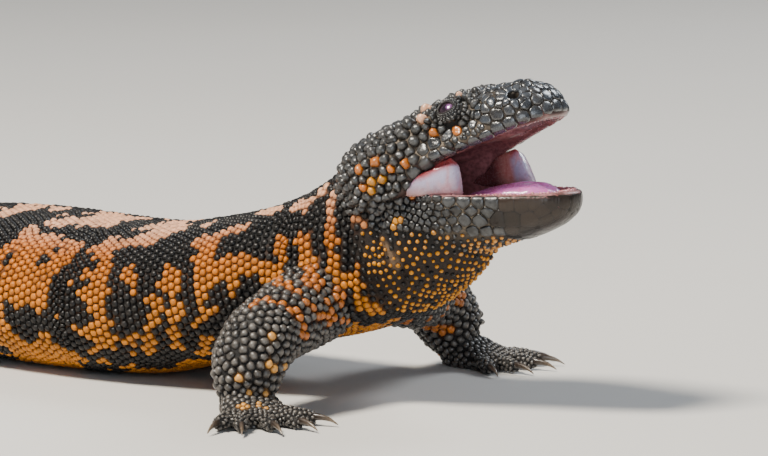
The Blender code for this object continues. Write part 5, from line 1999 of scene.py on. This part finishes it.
def makeTongue(finish):
    facts = tongueFacts
    mesh = fineMesh("tongue", softFacts["tongueSmooth"])
    places, normals = coordsOf(mesh), normalsOf(mesh)
    low = lowerJaw.measure(places)
    groove = np.exp(-(low[:, 1] / facts["groove"]) ** 2) * ease(*facts["grooveFrom"], low[:, 0])
    lumps = noiseAt(places, facts["lumps"], 71.0) * facts["lumpHeight"]
    lift = (normals @ np.array(lowerJaw.up) > 0) * (lumps - groove * facts["grooveDepth"])
    setCoords(mesh, places + np.array(lowerJaw.up) * lift[:, None])
    setColours(mesh, "tint", blend(facts["low"], facts["high"], ease(*facts["top"], low[:, 2])))
    tongue = addObject("tongueFlesh", mesh, finish)
    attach(tongue, "root")
    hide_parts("tongue")


wetStuff = wetMaterial("mouthLining", 0.06 * mm, 0.5 * mm)
makeFold(-1, "cheekFoldRight", "cheek_fold_right", wetStuff)
makeFold(1, "cheekFoldLeft", "cheek_fold_left", wetStuff)
makeTongue(wetMaterial("tongueFlesh", 0.09 * mm, 0.3 * mm))
print("mouth's soft parts made")


# Gums: a line of small pink bumps along the inner edge of each lip

gumFacts = {
    "jaws": ((lowerJaw, "lowerEdge", 13, 1), (upperJaw, "upperEdge", 14, -1)),  # edge, back end and facing
    "rim": 0.6 * mm, "pitch": 1.05 * mm, "inward": (1.6, 2.5), "cast": 6 * mm,
    "level": (1.5 * mm, 1.8 * mm),  # a bump's height on the jaw's axes, and how far from it is still right
    "size": (0.42, 0.58), "tall": 0.42 * mm, "tallRange": (0.5, 1.1), "tint": (0.50, 0.20, 0.22),
    "shadeRange": (0.75, 1.15), "upper": {"size": 0.8, "tall": 0.5, "shade": 0.5},
}


def gumCloud():
    facts = gumFacts
    places, ways = [], []
    level, slack = facts["level"]
    for jaw, edge, back, way in facts["jaws"]:
        rim = lipLine(jaw, lips[edge], -way * facts["rim"], back)
        for number, inward in enumerate(facts["inward"]):
            for spot in evenly(rim, facts["pitch"], 0.5 * number):
                side = jaw.measure(spot[None])[0]
                pull = Vector((-(max(side[0] - lips["turn"], 0)), -side[1], 0)).normalized() * inward * mm
                start = jaw.place(side[0] + pull.x, side[1] + pull.y, way * facts["cast"])
                hit = skinTree.ray_cast(start, -jaw.up * way)[0]
                if hit is not None and abs(jaw.measure(np.array(hit)[None])[0][2] - level) < slack:
                    places.append(np.array(hit))
                    ways.append(np.array(jaw.up * way))
    places, ways = np.array(places), np.array(ways)
    roots = np.zeros((len(places), 3))
    roots[:, :2] = gape.measure(places)[:, :2] * bakeFacts["gumScale"] + bakeFacts["gumFrom"]
    random = np.random.default_rng(17)
    shares = {key: np.where(ways[:, 2] < 0, value, 1) for key, value in facts["upper"].items()}
    size = facts["pitch"] * random.uniform(*facts["size"], len(places)) * shares["size"]
    tall = facts["tall"] * random.uniform(*facts["tallRange"], len(places)) * shares["tall"]
    tints = np.array(facts["tint"]) * random.uniform(*facts["shadeRange"], (len(places), 1))
    tints *= shares["shade"][:, None]
    return {"centre": places, "facing": ways, "root": roots, "size": size, "tall": tall, "tint": tints}


gums = gumCloud()
makeCoat("gums", gums, np.ones(len(gums["size"]), bool), fineBead, wetStuff, 0.98, 0.3)


# Claws: the frame's own horns, rounded, dark at the root

hornFinish = {
    "streaks": 0.5 * mm, "streakRange": (0.35, 0.7), "shade": (0.55, 0.5, 0.45), "rough": (0.2, 0.25),
    "coat": 0.3, "bump": 0.4, "bumpDepth": 0.05 * mm,
    "root": (0.035, 0.026, 0.022), "tip": (0.20, 0.15, 0.105), "tipFrom": (0.1, 0.9),
    "sink": 1.0 * mm, "sunkTo": 0.5,  # how far each root reaches into the toe's skin
}


def hornMaterial(facts):
    material, tree, shader = newMaterial("clawHorn")
    tint = attribute(tree, "tint")
    streaks = grain(tree, facts["streaks"], 4.0, output="Fac")
    dark = mixed(tree, 1.0, tint, facts["shade"], "MULTIPLY")
    setInputs(tree, shader, {
        "Base Color": mixed(tree, streaks.between(*facts["streakRange"]), dark, tint),
        "Roughness": streaks * facts["rough"][1] + facts["rough"][0],
        "Coat Weight": facts["coat"],
        "Normal": bump(tree, streaks, facts["bump"], facts["bumpDepth"]),
    })
    return material


def makeClaws(limb, start, finish):
    facts = hornFinish
    names = sorted(n for n in nodes if n.startswith(start))
    whole = bmesh.new()
    tones = []
    for name in names:
        thing = addObject("claw", mergedMesh(name))
        smooth = thing.modifiers.new("Subdivision", "SUBSURF")
        smooth.levels = smooth.render_levels = 2
        mesh = evaluatedMesh(thing)
        places = coordsOf(mesh)
        root = places[distanceTo(places, limbPaths[limb][2]).argmin()]
        out = distanceTo(places, root)
        back = root - places[out.argmax()]
        near, facing = skinTree.find_nearest(Vector(root))[:2]
        sink = max((Vector(root) - near).dot(facing), 0) + facts["sink"]
        rooted = (1 - ease(0, facts["sunkTo"], out / out.max())) * sink / np.linalg.norm(back)
        setCoords(mesh, places + back * rooted[:, None])
        tones.append(out / out.max())
        whole.from_mesh(mesh)
        bpy.data.meshes.remove(mesh)
    mesh = bpy.data.meshes.new(start)
    whole.to_mesh(mesh)
    whole.free()
    share = ease(*facts["tipFrom"], np.concatenate(tones))
    setColours(mesh, "tint", blend(facts["root"], facts["tip"], share))
    mesh.shade_smooth()
    claws = addObject("claws" + limb[0].upper() + limb[1:], mesh, finish)
    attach(claws, "root")
    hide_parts(*names)


hornStuff = hornMaterial(hornFinish)
for limb, names in limbs.items():
    makeClaws(limb, "claw_" + names[-1], hornStuff)
print("claws made")


# The coat's pieces

isHeadBead = isNode(beadOwners, "head", "lower_jaw") & (beadKinds != "edge")
isTrunkBead = isNode(beadOwners, "neck", "torso")
isJaw, isLip = isNode(beadOwners, "lower_jaw"), beadKinds == "lip"
topAlong, jawAlong = upperJaw.measure(beadPlaces)[:, 0], lowerJaw.measure(beadPlaces)[:, 0]
plateAreas = {"snoutFrom": 31 * mm, "snoutLipFrom": 18 * mm, "chinFrom": 30 * mm}
isSnout = (topAlong > plateAreas["snoutFrom"]) | (isLip & (topAlong > plateAreas["snoutLipFrom"]))
isSnout &= isHeadBead & ~isJaw
isChin = isHeadBead & isJaw & (jawAlong > plateAreas["chinFrom"])
isLabial = isHeadBead & isJaw & ~isChin & isLip
for name, mine, template, finish, fill, uneven in (
    ("headPlates", isHeadBead & ~isSnout & ~isChin & ~isLabial, headPlate, plateStuff, 0.97, 0.4),
    ("snoutPlates", isSnout, flatPlate, snoutStuff, 0.985, 0.5),
    ("jawPlates", isLabial, flatPlate, plateStuff, 0.975, 0.5),
    ("chinPlates", isChin, flatPlate, chinStuff, 1.04, 0.3),
):
    makeCoat(name, beadCloud, mine, template, finish, fill, uneven)
trunkParts = {"neckBeads": (-math.inf, 60 * mm), "shoulderBeads": (60 * mm, 110 * mm),
              "trunkBeads": (110 * mm, 160 * mm), "hipBeads": (160 * mm, math.inf)}
for name, (front, back) in trunkParts.items():
    makeCoat(name, beadCloud, isTrunkBead & (beadArcs >= front) & (beadArcs < back), fineBead, beadStuff)
makeCoat("tailBeads", beadCloud, isNode(beadOwners, "tail"), fineBead, beadStuff)
for key, names in limbs.items():
    makeCoat(key + "Beads", beadCloud, isNode(beadOwners, *names[1:]), fineBead, limbStuff)
for template in (fineBead, headPlate, flatPlate):
    bpy.data.objects.remove(template)
